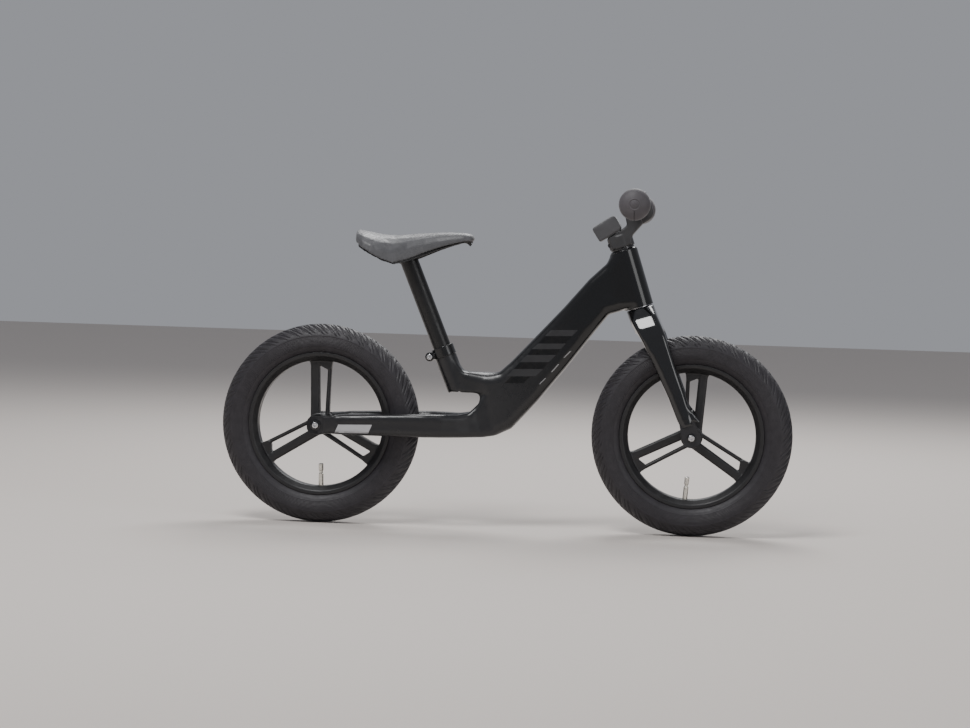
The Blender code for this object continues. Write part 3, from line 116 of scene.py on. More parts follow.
def build_camera():
    """Looks at the bike's right side from far off, nearly level and a little ahead of square."""
    azimuth = math.radians(CAMERA_AZIMUTH)
    elevation = math.radians(CAMERA_ELEVATION)
    back = Vector((
        math.sin(azimuth) * math.cos(elevation),
        -math.cos(azimuth) * math.cos(elevation),
        math.sin(elevation),
    ))
    camera = link("camera", bpy.data.cameras.new("camera"))
    level = (-back).to_track_quat("-Z", "Y").to_matrix().to_4x4()
    roll = Matrix.Rotation(math.radians(CAMERA_ROLL), 4, "Z")
    camera.matrix_world = Matrix.Translation(CAMERA_TARGET + back * CAMERA_DISTANCE) @ level @ roll
    camera.data.lens = CAMERA_LENS
    camera.data.clip_end = 50
    bpy.context.scene.camera = camera


FLOOR_HALF_WIDTH = 9
FLOOR_COLOUR = (0.62, 0.57, 0.53, 1)
WORLD_COLOUR = (0.74, 0.76, 0.82, 1)
WORLD_STRENGTH = 0.42
LIGHTS_AIM = Vector((0, 0, 0.25))
LIGHTS = (  # name, place, width in metres, power in watts
    ("key", (-0.7, -1.5, 2.7), 1.1, 62),
    ("fill", (2.6, -2.2, 1.2), 1.4, 16),
    ("rim", (0.3, 1.9, 2.4), 1.6, 66),
)


def build_studio():
    mesh = bpy.data.meshes.new("floor")
    bm = bmesh.new()
    bmesh.ops.create_grid(bm, x_segments=1, y_segments=1, size=FLOOR_HALF_WIDTH)
    bm.to_mesh(mesh)
    bm.free()
    floor = link("floor", mesh)
    material = bpy.data.materials.new("floor")
    material.use_nodes = True
    shader = material.node_tree.nodes["Principled BSDF"]
    shader.inputs["Base Color"].default_value = FLOOR_COLOUR
    shader.inputs["Roughness"].default_value = 0.9
    floor.data.materials.append(material)
    world = bpy.data.worlds.new("studio")
    bpy.context.scene.world = world
    world.use_nodes = True
    background = world.node_tree.nodes["Background"]
    background.inputs["Color"].default_value = WORLD_COLOUR
    background.inputs["Strength"].default_value = WORLD_STRENGTH
    for name, place, size, power in LIGHTS:
        light = link(name, bpy.data.lights.new(name, "AREA"))
        light.data.size = size
        light.data.energy = power
        light.location = place
        light.rotation_mode = "QUATERNION"
        light.rotation_quaternion = (LIGHTS_AIM - Vector(place)).to_track_quat("-Z", "Y")


# ---------------------------------------------------------------- shape helpers

def link(name, data):
    obj = bpy.data.objects.new(name, data)
    bpy.context.scene.collection.objects.link(obj)
    return obj


def mesh_of(name, points, faces):
    mesh = bpy.data.meshes.new(name)
    mesh.from_pydata([tuple(point) for point in points], [], [tuple(face) for face in faces])
    bm = bmesh.new()
    bm.from_mesh(mesh)
    bmesh.ops.remove_doubles(bm, verts=bm.verts, dist=1e-6)
    bmesh.ops.recalc_face_normals(bm, faces=bm.faces)
    bm.to_mesh(mesh)
    bm.free()
    return mesh


def cad_mesh(name, node):
    """A copy of a CAD node's mesh, with its seams closed."""
    mesh = NODES[node].data.copy()
    mesh.name = name
    mesh.materials.clear()
    bm = bmesh.new()
    bm.from_mesh(mesh)
    bmesh.ops.remove_doubles(bm, verts=bm.verts, dist=SEAM)
    bmesh.ops.dissolve_degenerate(bm, edges=bm.edges, dist=1e-6)
    bmesh.ops.recalc_face_normals(bm, faces=bm.faces)
    bm.to_mesh(mesh)
    bm.free()
    return mesh


def shade(mesh, limit):
    """Smooth shading, but for the edges that turn by more than a limit in degrees."""
    bm = bmesh.new()
    bm.from_mesh(mesh)
    for face in bm.faces:
        face.smooth = True
    for edge in bm.edges:
        edge.smooth = len(edge.link_faces) != 2 or edge.calc_face_angle(0) < math.radians(limit)
    bm.to_mesh(mesh)
    bm.free()


def baked(obj):
    """Applies every modifier of an object."""
    graph = bpy.context.evaluated_depsgraph_get()
    mesh = bpy.data.meshes.new_from_object(obj.evaluated_get(graph))
    obj.modifiers.clear()
    old, obj.data = obj.data, mesh
    mesh.name = old.name
    bpy.data.meshes.remove(old)
    return obj


def boolean(obj, others, operation="DIFFERENCE"):
    """Joins or cuts an object by temporary ones in one step, then removes them."""
    group = bpy.data.collections.new("cutters")
    for other in others:
        group.objects.link(other)
    modifier = obj.modifiers.new("cut", "BOOLEAN")
    modifier.operation = operation
    modifier.operand_type = "COLLECTION"
    modifier.collection = group
    modifier.solver = "EXACT"
    baked(obj)
    bpy.data.collections.remove(group)
    for other in others:
        bpy.data.objects.remove(other, do_unlink=True)
    return obj


def turned(name, profile, place, steps=TURN_STEPS):
    """Turns (radius, height) points about a frame's Z: a ring if they stay off the axis, else a solid."""
    points, faces = [], []
    closed = all(radius > ON_AXIS for radius, _ in profile)
    for step in range(steps):
        angle = 2 * math.pi * step / steps
        points += [(r * math.cos(angle), r * math.sin(angle), h) for r, h in profile]
    count = len(profile)
    for step in range(steps):
        near, far = step * count, (step + 1) % steps * count
        for i in range(count if closed else count - 1):
            j = (i + 1) % count
            loop = [near + i, near + j, far + j, far + i]
            if profile[i][0] <= ON_AXIS:
                loop = [near + i, near + j, far + j]
            elif profile[j][0] <= ON_AXIS:
                loop = [near + i, near + j, far + i]
            faces.append(loop)
    obj = link(name, mesh_of(name, points, faces))
    obj.data.transform(place)
    return obj


def rod(name, radius, low, high, place, steps=TURN_STEPS):
    return turned(name, [(0, high), (radius, high), (radius, low), (0, low)], place, steps)


def box_of(name, low, high, place):
    points = [(x, y, z) for x in (low[0], high[0]) for y in (low[1], high[1]) for z in (low[2], high[2])]
    faces = [(0, 1, 3, 2), (4, 6, 7, 5), (0, 4, 5, 1), (2, 3, 7, 6), (0, 2, 6, 4), (1, 5, 7, 3)]
    obj = link(name, mesh_of(name, points, faces))
    obj.data.transform(place)
    return obj


def remeshed(obj, voxel):
    modifier = obj.modifiers.new("remesh", "REMESH")
    modifier.mode = "VOXEL"
    modifier.voxel_size = voxel
    return baked(obj)


def points_of(mesh):
    points = np.empty(len(mesh.vertices) * 3)
    mesh.vertices.foreach_get("co", points)
    return points.reshape(-1, 3)


def put_points(mesh, points):
    mesh.vertices.foreach_set("co", points.astype(np.float32).ravel())
    mesh.update()


def in_frame(points, place):
    matrix = np.array(place)
    return points @ matrix[:3, :3].T + matrix[:3, 3]


def smoothed(mesh, rounds, weight=None):
    """Evens the surface out, as far as each point's weight allows, in turns that cancel the shrinking."""
    points = points_of(mesh)
    edges = np.empty(len(mesh.edges) * 2, np.int32)
    mesh.edges.foreach_get("vertices", edges)
    edges = edges.reshape(-1, 2)
    count = np.bincount(edges.ravel(), minlength=len(points))[:, None]
    weight = 1.0 if weight is None else weight[:, None]
    for turn in range(rounds * 2):
        pull = (0.5, -0.52)[turn % 2]
        near = np.zeros_like(points)
        np.add.at(near, edges[:, 0], points[edges[:, 1]])
        np.add.at(near, edges[:, 1], points[edges[:, 0]])
        points += pull * weight * (near / count - points)
    put_points(mesh, points)


def tree_of(mesh):
    bm = bmesh.new()
    bm.from_mesh(mesh)
    tree = BVHTree.FromBMesh(bm)
    bm.free()
    return tree


def smooth_step(value, low, high):
    share = np.clip((value - low) / (high - low), 0, 1)
    return share * share * (3 - 2 * share)


def rounded_off(mesh, place, steps, least, most):
    """Brings points on the flats of a many-sided tube out to its circle, between two radii."""
    local = in_frame(points_of(mesh), place.inverted())
    radius = np.hypot(local[:, 0], local[:, 1])
    flat = 2 * math.pi / steps
    off = (np.arctan2(local[:, 1], local[:, 0]) % flat) - flat / 2
    grow = np.cos(off) / math.cos(flat / 2)
    grow[(radius < least) | (radius > most)] = 1.0
    local[:, :2] *= grow[:, None]
    put_points(mesh, in_frame(local, place))


def stand_for(obj, node, limit):
    """Makes a finished mesh the visible piece for a CAD node."""
    shade(obj.data, limit)
    obj.data.materials.clear()
    obj.data.materials.append(finish_of(node))
    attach(obj, NODES[node]["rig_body"])
    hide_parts(node)
    return obj


def add_bevel(obj, width):
    modifier = obj.modifiers.new("edge", "BEVEL")
    modifier.width = width
    modifier.segments = 2
    modifier.limit_method = "ANGLE"
    modifier.angle_limit = math.radians(BEVEL_ANGLE)


SLOT_OF = {entry["node"]: entry["material_slot"] for entry in frame["record"]["subparts"]}


# ---------------------------------------------------------------- materials

def surface(name, colour, rough, metallic=0.0, coat=0.0, coat_rough=0.08, sheen=0.0, grain=0.15,
            grain_size=0.0006, mottle=0.12, mottle_size=0.02, spread=0.08, wear=0.0, ahead=None):
    """A finish with grain in its relief, and colour and gloss that vary a little over the surface.

    Ahead gives two distances along the bike and the colour and roughness that it turns to between them.
    """
    material = bpy.data.materials.new(name)
    material.use_nodes = True
    nodes, links = material.node_tree.nodes, material.node_tree.links
    shader = nodes["Principled BSDF"]
    shader.inputs["Metallic"].default_value = metallic
    shader.inputs["Coat Weight"].default_value = coat
    shader.inputs["Coat Roughness"].default_value = coat_rough
    shader.inputs["Sheen Weight"].default_value = sheen
    shader.inputs["Sheen Roughness"].default_value = 0.4
    where = nodes.new("ShaderNodeTexCoord")

    def noise(size, detail):
        node = nodes.new("ShaderNodeTexNoise")
        node.inputs["Scale"].default_value = 1 / size
        node.inputs["Detail"].default_value = detail
        links.new(where.outputs["Object"], node.inputs["Vector"])
        return node.outputs["Fac"]

    def spanned(source, low, high, start=0.3, end=0.7):
        node = nodes.new("ShaderNodeMapRange")
        for key, value in (("From Min", start), ("From Max", end), ("To Min", low), ("To Max", high)):
            node.inputs[key].default_value = value
        links.new(source, node.inputs["Value"])
        return node.outputs["Result"]

    def mixed(share, one, two):
        node = nodes.new("ShaderNodeMix")
        node.data_type = "RGBA"
        links.new(share, node.inputs["Factor"])
        for value, socket in ((one, node.inputs["A"]), (two, node.inputs["B"])):
            if isinstance(value, tuple):
                socket.default_value = value
            else:
                links.new(value, socket)
        return node.outputs["Result"]

    broad = noise(mottle_size, 4)
    dark = tuple(c * (1 - mottle) for c in colour) + (1,)
    light = tuple(c * (1 + mottle) for c in colour) + (1,)
    tint = mixed(spanned(broad, 0, 1), dark, light)
    if wear:
        geometry = nodes.new("ShaderNodeNewGeometry")
        edge = spanned(geometry.outputs["Pointiness"], 0, wear, 0.52, 0.60)
        tint = mixed(edge, tint, tuple(min(1, 0.06 + c * 1.8) for c in colour) + (1,))
    gloss = spanned(noise(mottle_size * 0.4, 6), rough - spread, rough + spread)
    if ahead:
        start, end, front_colour, front_rough = ahead
        split = nodes.new("ShaderNodeSeparateXYZ")
        links.new(where.outputs["Object"], split.inputs["Vector"])
        share = spanned(split.outputs["X"], 0, 1, start, end)
        tint = mixed(share, tint, front_colour + (1,))
        blend = nodes.new("ShaderNodeMix")
        links.new(share, blend.inputs["Factor"])
        links.new(gloss, blend.inputs["A"])
        blend.inputs["B"].default_value = front_rough
        gloss = blend.outputs["Result"]
    links.new(tint, shader.inputs["Base Color"])
    links.new(gloss, shader.inputs["Roughness"])
    bump = nodes.new("ShaderNodeBump")
    bump.inputs["Strength"].default_value = grain
    bump.inputs["Distance"].default_value = grain_size * 0.4
    links.new(noise(grain_size, 3), bump.inputs["Height"])
    links.new(bump.outputs["Normal"], shader.inputs["Normal"])
    return material


FINISHES = {
    "frame_composite": surface("frame_satin", (0.0115, 0.0115, 0.0130), 0.34, coat=0.15, coat_rough=0.25,
                               grain=0.04, mottle=0.08, wear=0.05,
                               ahead=(-0.01, 0.10, (0.0040, 0.0042, 0.0046), 0.15)),
    "fork_composite": surface("fork_gloss", (0.0040, 0.0042, 0.0048), 0.14, coat=0.6, coat_rough=0.04,
                              grain=0.015, mottle=0.08, spread=0.03),
    "dropout_alloy": surface("dropout_black", (0.020, 0.020, 0.022), 0.38, metallic=0.6, wear=0.3),
    "black_alloy": surface("alloy_black", (0.010, 0.010, 0.011), 0.24, metallic=0.4, coat=0.4, wear=0.25,
                           grain=0.06, spread=0.06),
    "bright_steel": surface("steel_bright", (0.66, 0.66, 0.67), 0.24, metallic=1.0, grain=0.12,
                            grain_size=0.0003, mottle=0.06, mottle_size=0.004),
    "black_steel": surface("steel_black", (0.05, 0.05, 0.052), 0.34, metallic=0.8, wear=0.4,
                           mottle_size=0.004),
    "bearing_steel": surface("steel_ground", (0.55, 0.55, 0.56), 0.28, metallic=1.0, grain_size=0.0003,
                             mottle_size=0.005),
    "bare_alloy": surface("alloy_machined", (0.50, 0.50, 0.52), 0.32, metallic=1.0, grain_size=0.0004,
                          mottle_size=0.006),
    "stem_alloy": surface("stem_grey", (0.040, 0.040, 0.042), 0.46, metallic=0.2, grain=0.35,
                          grain_size=0.0007, wear=0.1),
    "bar_alloy": surface("bar_black", (0.015, 0.015, 0.016), 0.34, metallic=0.5),
    "grip_rubber": surface("grip_rubber", (0.068, 0.062, 0.068), 0.58, sheen=0.25, grain=0.5,
                           grain_size=0.0008, mottle=0.16),
    "pad_foam": surface("pad_skin", (0.062, 0.062, 0.066), 0.60, sheen=0.3, grain=0.45, grain_size=0.0009,
                        mottle=0.12),
    "wheel_cast": surface("wheel_black", (0.014, 0.0135, 0.0145), 0.42, grain=0.35, grain_size=0.0008,
                          mottle=0.15, wear=0.12),
    "tyre_rubber": surface("tyre_rubber", (0.0215, 0.0190, 0.0230), 0.54, sheen=0.06, grain=0.35,
                           grain_size=0.0009, mottle=0.22, mottle_size=0.012, wear=0.10),
    "tube_rubber": surface("tube_rubber", (0.02, 0.02, 0.02), 0.6),
    "valve_metal": surface("valve_nickel", (0.72, 0.70, 0.64), 0.2, metallic=1.0, grain=0.1,
                           grain_size=0.0003, mottle_size=0.003),
    "post_alloy": surface("post_black", (0.012, 0.012, 0.0125), 0.34, metallic=0.2, grain=0.10,
                          grain_size=0.0005),
    "saddle_skin": surface("saddle_skin", (0.078, 0.078, 0.083), 0.42, sheen=0.3, grain=0.5,
                           grain_size=0.0011, mottle=0.10, mottle_size=0.01),
    "saddle_plastic": surface("saddle_base", (0.008, 0.008, 0.009), 0.4, grain=0.3, grain_size=0.0008),
}


def finish_of(node):
    return FINISHES[SLOT_OF[node]]


# ---------------------------------------------------------------- carried-over CAD nodes

WELD = 2e-6
BROKEN_EDGE = 0.00035


def dress(node):
    """Keeps a CAD node's own shape, with its finish, closed seams and broken edges."""
    obj = NODES[node]
    obj.data.materials.clear()
    obj.data.materials.append(finish_of(node))
    obj.modifiers.new("weld", "WELD").merge_threshold = WELD
    add_bevel(obj, BROKEN_EDGE)
    for face in obj.data.polygons:
        face.use_smooth = False


# ---------------------------------------------------------------- frame and fork

HEAD_LENGTH = 0.087  # the head tube, from the steering joint's point up
HEAD_TUBE_R = 0.0212
HEADSET_R = 0.0189
HEAD_BORE_R = 0.0166  # between the headset's two bearing seats
UPPER_SEAT_DEPTH = 0.0078
LOWER_SEAT_DEPTH = 0.0090
STEERER_R = 0.0143
POST_R = 0.0136
SEAT_NECK_R = 0.01515
SEAT_TUBE_R = 0.01625
SEAT_TUBE_LENGTH = 0.0725
COLLAR_HEIGHT = 0.0155
COLLAR_ROOM_R = 0.03
SEAT_SLOT = 0.003
SEAT_SLOT_DEPTH = 0.040
SEAT_FOOT = REAR_AXLE + Vector((0.210, 0, 0.0547))
SEATING = axis_frame(SEAT_FOOT, SEAT_AXIS, (1, 0, 0))
FRAME_VOXEL = 0.0020
FORK_VOXEL = 0.0017
FRAME_ROUNDS = 70
FORK_ROUNDS = 34
FILL_PAST = 0.006  # how far the tubes run past the cuts that trim them
SLOT_FILL = 0.0005  # how much larger than its dropout the block is that closes a slot before the remesh
REAR_SLOT_START = 0.0085  # where the dropouts' slots start, ahead of the rear axle and above the front one
FRONT_SLOT_START = 0.024
CROWN_DEPTH = 0.035  # how far the steerer goes down into the crown
ARCH_R = 0.031  # the half-width, along the wheel's axle, of the arch over the tyre
# Boxes in which a convex hull bridges two shapes: from the rear axle, and in the steering's frame
SHELF_BRIDGE = ((0.219, -0.05, 0.0546), (0.262, 0.05, 0.12))
HEAD_BRIDGE = ((-0.032, -0.05, 0.003), (0.001, 0.05, HEAD_LENGTH))


def hull(name, mesh, place, low, high):
    """The convex hull of a mesh's corners inside a box of a frame, to bridge two shapes without a step."""
    inverse = place.inverted()
    bm = bmesh.new()
    for vertex in mesh.vertices:
        local = inverse @ vertex.co
        if all(low[a] <= local[a] <= high[a] for a in (0, 1, 2)):
            bm.verts.new(vertex.co)
    bmesh.ops.convex_hull(bm, input=bm.verts)
    loose = [vertex for vertex in bm.verts if not vertex.link_faces]
    bmesh.ops.delete(bm, geom=loose, context="VERTS")
    bmesh.ops.triangulate(bm, faces=bm.faces)
    bmesh.ops.recalc_face_normals(bm, faces=bm.faces)
    mesh = bpy.data.meshes.new(name)
    bm.to_mesh(mesh)
    bm.free()
    return link(name, mesh)


def finer(mesh, longest):
    """Splits long edges, so that a box picks out corners all along them."""
    bm = bmesh.new()
    bm.from_mesh(mesh)
    for _ in range(4):
        long_edges = [edge for edge in bm.edges if edge.calc_length() > longest]
        if long_edges:
            bmesh.ops.subdivide_edges(bm, edges=long_edges, cuts=1)
            bmesh.ops.triangulate(bm, faces=bm.faces)
    out = bpy.data.meshes.new("finer")
    bm.to_mesh(out)
    bm.free()
    return out


def plate_cut(name, node, grow):
    """A block a little larger than a flat CAD plate, for the slot that it sits in."""
    obj = link(name, cad_mesh(name, node))
    points = points_of(obj.data)
    middle = (points.min(0) + points.max(0)) / 2
    half = (points.max(0) - points.min(0)) / 2
    put_points(obj.data, middle + (points - middle) * (1 + grow / half))
    return obj


def plate_fill(name, node, axis, least):
    """A block that closes the slot of a flat CAD plate, from a distance along an axis onward."""
    obj = plate_cut(name, node, SLOT_FILL)
    points = points_of(obj.data)
    points[:, axis] = np.maximum(points[:, axis], least)
    put_points(obj.data, points)
    return obj


def build_frame():
    piece = link("frame_body", cad_mesh("frame_body", "frame"))
    fill = [
        rod("fill_head", HEAD_TUBE_R, -FILL_PAST, HEAD_LENGTH + FILL_PAST, STEERING),
        rod("fill_seat", SEAT_TUBE_R, 0.004, SEAT_TUBE_LENGTH + FILL_PAST, SEATING),
    ]
    for side, _ in LEFT_RIGHT:
        fill.append(plate_fill("fill_" + side, "rear_dropout_" + side, 0, REAR_AXLE.x + REAR_SLOT_START))
    dense = finer(piece.data, 0.006)
    fill.append(hull("bridge_shelf", dense, Matrix.Translation(REAR_AXLE), *SHELF_BRIDGE))
    fill.append(hull("bridge_head", dense, STEERING, *HEAD_BRIDGE))
    bpy.data.meshes.remove(dense)
    boolean(piece, fill, "UNION")
    remeshed(piece, FRAME_VOXEL)
    # Smoothed fully behind the head tube, and only a little ahead of its axis
    ahead_of_axis = in_frame(points_of(piece.data), STEERING.inverted())[:, 0]
    smoothed(piece.data, FRAME_ROUNDS, 0.15 + 0.85 * smooth_step(-ahead_of_axis, 0.002, 0.016))
    seat_r = HEADSET_R + GAP
    upper_seat = HEAD_LENGTH - UPPER_SEAT_DEPTH
    collar_foot = SEAT_TUBE_LENGTH - COLLAR_HEIGHT
    above_seat = SEAT_TUBE_LENGTH + 0.02
    cut = [
        rod("above_head", 0.045, HEAD_LENGTH, HEAD_LENGTH + 0.03, STEERING),
        rod("below_head", 0.045, -0.03, 0, STEERING),
        turned("head_bore", [
            (0, 0.2), (seat_r, 0.2), (seat_r, upper_seat), (HEAD_BORE_R, upper_seat),
            (HEAD_BORE_R, LOWER_SEAT_DEPTH), (seat_r, LOWER_SEAT_DEPTH), (seat_r, -0.05), (0, -0.05),
        ], STEERING),
        rod("above_seat", COLLAR_ROOM_R, SEAT_TUBE_LENGTH, above_seat, SEATING),
        turned("neck", [
            (COLLAR_ROOM_R, above_seat), (COLLAR_ROOM_R, collar_foot), (SEAT_NECK_R, collar_foot),
            (SEAT_NECK_R, above_seat),
        ], SEATING),
        rod("seat_bore", POST_R + GAP, -0.03, SEAT_TUBE_LENGTH + 0.03, SEATING),
        box_of("seat_slot", (-0.05, -SEAT_SLOT / 2, SEAT_TUBE_LENGTH - SEAT_SLOT_DEPTH),
               (0, SEAT_SLOT / 2, above_seat), SEATING),
    ]
    for side, _ in LEFT_RIGHT:
        cut.append(plate_cut("slot_" + side, "rear_dropout_" + side, GAP))
    boolean(piece, cut)
    return stand_for(piece, "frame", 30)


def build_fork():
    piece = link("fork_body", cad_mesh("fork_body", "fork"))
    top = max((STEERING.inverted() @ Vector(point)).z for point in points_of(piece.data))
    fill = [rod("fill_crown", STEERER_R + 0.003, top - CROWN_DEPTH - 0.001, top - 0.0005, STEERING)]
    for side, _ in LEFT_RIGHT:
        fill.append(plate_fill("fill_" + side, "front_dropout_" + side, 2, FRONT_AXLE.z + FRONT_SLOT_START))
    dense = finer(piece.data, 0.005)
    for side, sign in LEFT_RIGHT:
        inner, outer = sorted((0.0, sign * 0.08))
        fill.append(hull("bridge_" + side, dense, STEERING, (-0.05, inner, top - 0.047),
                         (0.05, outer, top + 0.001)))
    bpy.data.meshes.remove(dense)
    boolean(piece, fill, "UNION")
    boolean(piece, [rod("tyre_arch", FRONT_AXLE.z + 0.008, -ARCH_R, ARCH_R, across_bike(FRONT_AXLE), 96)])
    remeshed(piece, FORK_VOXEL)
    smoothed(piece.data, FORK_ROUNDS)
    cut = [
        rod("above_crown", 0.05, top, top + 0.02, STEERING),
        rod("steerer_seat", STEERER_R + GAP, top - CROWN_DEPTH, top + 0.01, STEERING),
    ]
    for side, _ in LEFT_RIGHT:
        cut.append(plate_cut("slot_" + side, "front_dropout_" + side, GAP))
    boolean(piece, cut)
    stand_for(piece, "fork", 30)


# ---------------------------------------------------------------- wheels

WHEEL_VOXEL = 0.0012
RIM_FROM_R = 0.088
HUB_TO_R = 0.019
ALONG_Y = Matrix.Rotation(-math.pi / 2, 4, "X")


def build_wheel(end, centre):
    node = end + "_wheel"
    wheel = link(end + "_rim", cad_mesh(end + "_rim", node))
    remeshed(wheel, WHEEL_VOXEL)
    place = Matrix.Translation(centre) @ ALONG_Y
    rounded_off(wheel.data, place, CAD_WHEEL_STEPS, RIM_FROM_R, ALL_RADII)
    rounded_off(wheel.data, place, CAD_TUBE_STEPS, 0.0, HUB_TO_R)
    smoothed(wheel.data, 5)
    stand_for(wheel, node, 40)


TYRE_AROUND = 880
TYRE_R = 0.151
TYRE_SECTION_R = 0.025
TYRE_INSIDE = 0.0001  # how far the made tyre's crown stays inside the CAD's
TYRE_HOLLOW_R = 0.0208
BEAD_R = 0.1018
BEAD_Y = 0.0153
BEAD_THICKNESS = 0.0045
BEAD_SHOULDER_R = 0.1086
BEAD_SHOULDER_Y = 0.0165
TYRE_FOOT_R = 0.1095  # where the sidewall meets the rim
SIDEWALL_START = 76  # degrees from the crown
SIDEWALL_END = 112
TREAD_PITCHES = 44
# Where each row of slashes starts in its pitch, how far it leans, the degrees from the crown that it spans,
# its width in pitches and its depth in metres
SLASHES = (
    (0.00, 0.95, 6, 60, 0.150, 0.0013),
    (0.45, 0.95, 16, 66, 0.110, 0.0011),
    (0.24, 0.80, 34, 72, 0.075, 0.0009),
    (0.70, 0.80, 2, 40, 0.075, 0.0010),
)


def tread(around, across):
    """Relief of the tyre's face, in metres. Around is in pitches, across in degrees from the crown."""
    reach = np.abs(across)
    shift = np.where(across > 0, 0.5, 0.0)

    def slashes(offset, bend, low, high, width, depth):
        phase = around + shift + offset + bend * (reach / 60) ** 1.6
        away = np.abs((phase + 0.5) % 1 - 0.5)
        share = np.clip((reach - low) / (high - low), 0, 1)
        body = width * np.sin(np.pi * share ** 0.8) ** 0.7 + 1e-4
        line = 1 - smooth_step(away, body * 0.55, body)
        return -depth * line * ((reach > low) & (reach < high))

    relief = np.minimum.reduce([slashes(*row) for row in SLASHES])
    ribs = 0.00022 * np.sin(np.radians((reach - 77) * 80)) * ((reach > 77) & (reach < 116))
    step = -0.0006 * smooth_step(reach, 73, 76)
    return relief + ribs + step


def build_tyre(end, centre):
    crown_r = TYRE_R - TYRE_SECTION_R
    lip = math.degrees(math.acos((TYRE_FOOT_R - crown_r) / TYRE_SECTION_R))
    angles = np.concatenate([
        np.linspace(-lip, -SIDEWALL_END, 5)[:-1],
        np.linspace(-SIDEWALL_END, -SIDEWALL_START, 55)[:-1],
        np.linspace(-SIDEWALL_START, SIDEWALL_START, 121),
        np.linspace(SIDEWALL_START, SIDEWALL_END, 55)[1:],
        np.linspace(SIDEWALL_END, lip, 5)[1:],
    ])
    around = np.arange(TYRE_AROUND) * 2 * math.pi / TYRE_AROUND
    grid_around, grid_across = np.meshgrid(around, angles, indexing="ij")
    relief = tread(grid_around * TREAD_PITCHES / (2 * math.pi), grid_across)
    reach = TYRE_SECTION_R - TYRE_INSIDE + relief
    radius = crown_r + reach * np.cos(np.radians(grid_across))
    width = reach * np.sin(np.radians(grid_across))
    # The beads and the hollow inside, from the left sidewall's foot round to the right one's
    hollow = np.radians(np.linspace(lip - 8, -lip + 8, 9))
    bead_in = BEAD_Y - BEAD_THICKNESS
    inner_r = [[BEAD_SHOULDER_R, BEAD_R, BEAD_R], crown_r + TYRE_HOLLOW_R * np.cos(hollow),
               [BEAD_R, BEAD_R, BEAD_SHOULDER_R]]
    inner_y = [[BEAD_SHOULDER_Y, BEAD_Y, bead_in], TYRE_HOLLOW_R * np.sin(hollow),
               [-bead_in, -BEAD_Y, -BEAD_SHOULDER_Y]]
    radius = np.hstack([radius, np.tile(np.concatenate(inner_r), (TYRE_AROUND, 1))])
    width = np.hstack([width, np.tile(np.concatenate(inner_y), (TYRE_AROUND, 1))])
    turn = around[:, None]
    points = np.stack([
        centre.x + radius * np.cos(turn), centre.y + width, centre.z + radius * np.sin(turn)], -1)
    index = np.arange(radius.size).reshape(radius.shape)
    after = np.roll(index, -1, axis=0)
    faces = np.stack([index, np.roll(index, -1, axis=1), np.roll(after, -1, axis=1), after], -1)
    mesh = bpy.data.meshes.new(end + "_tread")
    mesh.from_pydata(points.reshape(-1, 3).tolist(), [], faces.reshape(-1, 4).tolist())
    bm = bmesh.new()
    bm.from_mesh(mesh)
    bmesh.ops.recalc_face_normals(bm, faces=bm.faces)
    bm.to_mesh(mesh)
    bm.free()
    stand_for(link(end + "_tread", mesh), end + "_tyre", 50)


# ---------------------------------------------------------------- smaller hard pieces

BAR_R = 0.0111
BAR_HALF_WIDTH = 0.194
GRIP_START = 0.090
GRIP_BULB_R = 0.0230
GRIP_BULB_DEPTH = 0.0145
GRIP_FACE_R = 0.0085  # the flat face at the bulb's end
GRIP_R = 0.0150
GRIP_FLANGE_R = 0.0185
GRIP_CORE_R = 0.0205  # the slit in the bulb goes down to this
GRIP_SLIT = 0.0008
GRIP_RIBS = 14
RIB_HEIGHT = 0.0006
TURNED_EDGE = 0.0003
SOCKET_R = 0.0029
SOCKET_DEPTH = 0.0026


def across_bike(centre, side=1):
    """A frame along the bike's width, whose Z points to the given side."""
    place = Matrix.Translation(centre) @ ALONG_Y
    return place if side > 0 else place @ Matrix.Rotation(math.pi, 4, "X")


def softened(node, voxel, rounds, place, least, most):
    """A moulded or cast piece: the CAD node's shape, its edges eased, and made round between two radii."""
    piece = link(node + "_cast", cad_mesh(node + "_cast", node))
    remeshed(piece, voxel)
    if place is not None:
        rounded_off(piece.data, place, CAD_TUBE_STEPS, least, most)
    smoothed(piece.data, rounds)
    stand_for(piece, node, 45)


def lathed(node, place, steps, socket=None):
    """A turned piece: the CAD node's facets made round, its edges broken, with a hexagonal socket if any."""
    piece = link(node + "_turned", cad_mesh(node + "_turned", node))
    bm = bmesh.new()
    bm.from_mesh(piece.data)
    bmesh.ops.dissolve_limit(bm, angle_limit=0.01, verts=bm.verts, edges=bm.edges)
    inverse = place.inverted()
    rims = []
    for edge in bm.edges:
        one, two = (inverse @ vertex.co for vertex in edge.verts)
        if abs(one.z - two.z) < 1e-6 and abs(one.xy.length - two.xy.length) < 1e-6:
            rims.append(edge)
    bmesh.ops.subdivide_edges(bm, edges=rims, cuts=3)
    bm.to_mesh(piece.data)
    bm.free()
    rounded_off(piece.data, place, steps, 0.0, ALL_RADII)
    add_bevel(piece, TURNED_EDGE)
    baked(piece)
    if socket:
        radius, top, deep = socket
        boolean(piece, [rod("hex", radius, top - deep, top + 0.01, place, 6)])
    stand_for(piece, node, 32)


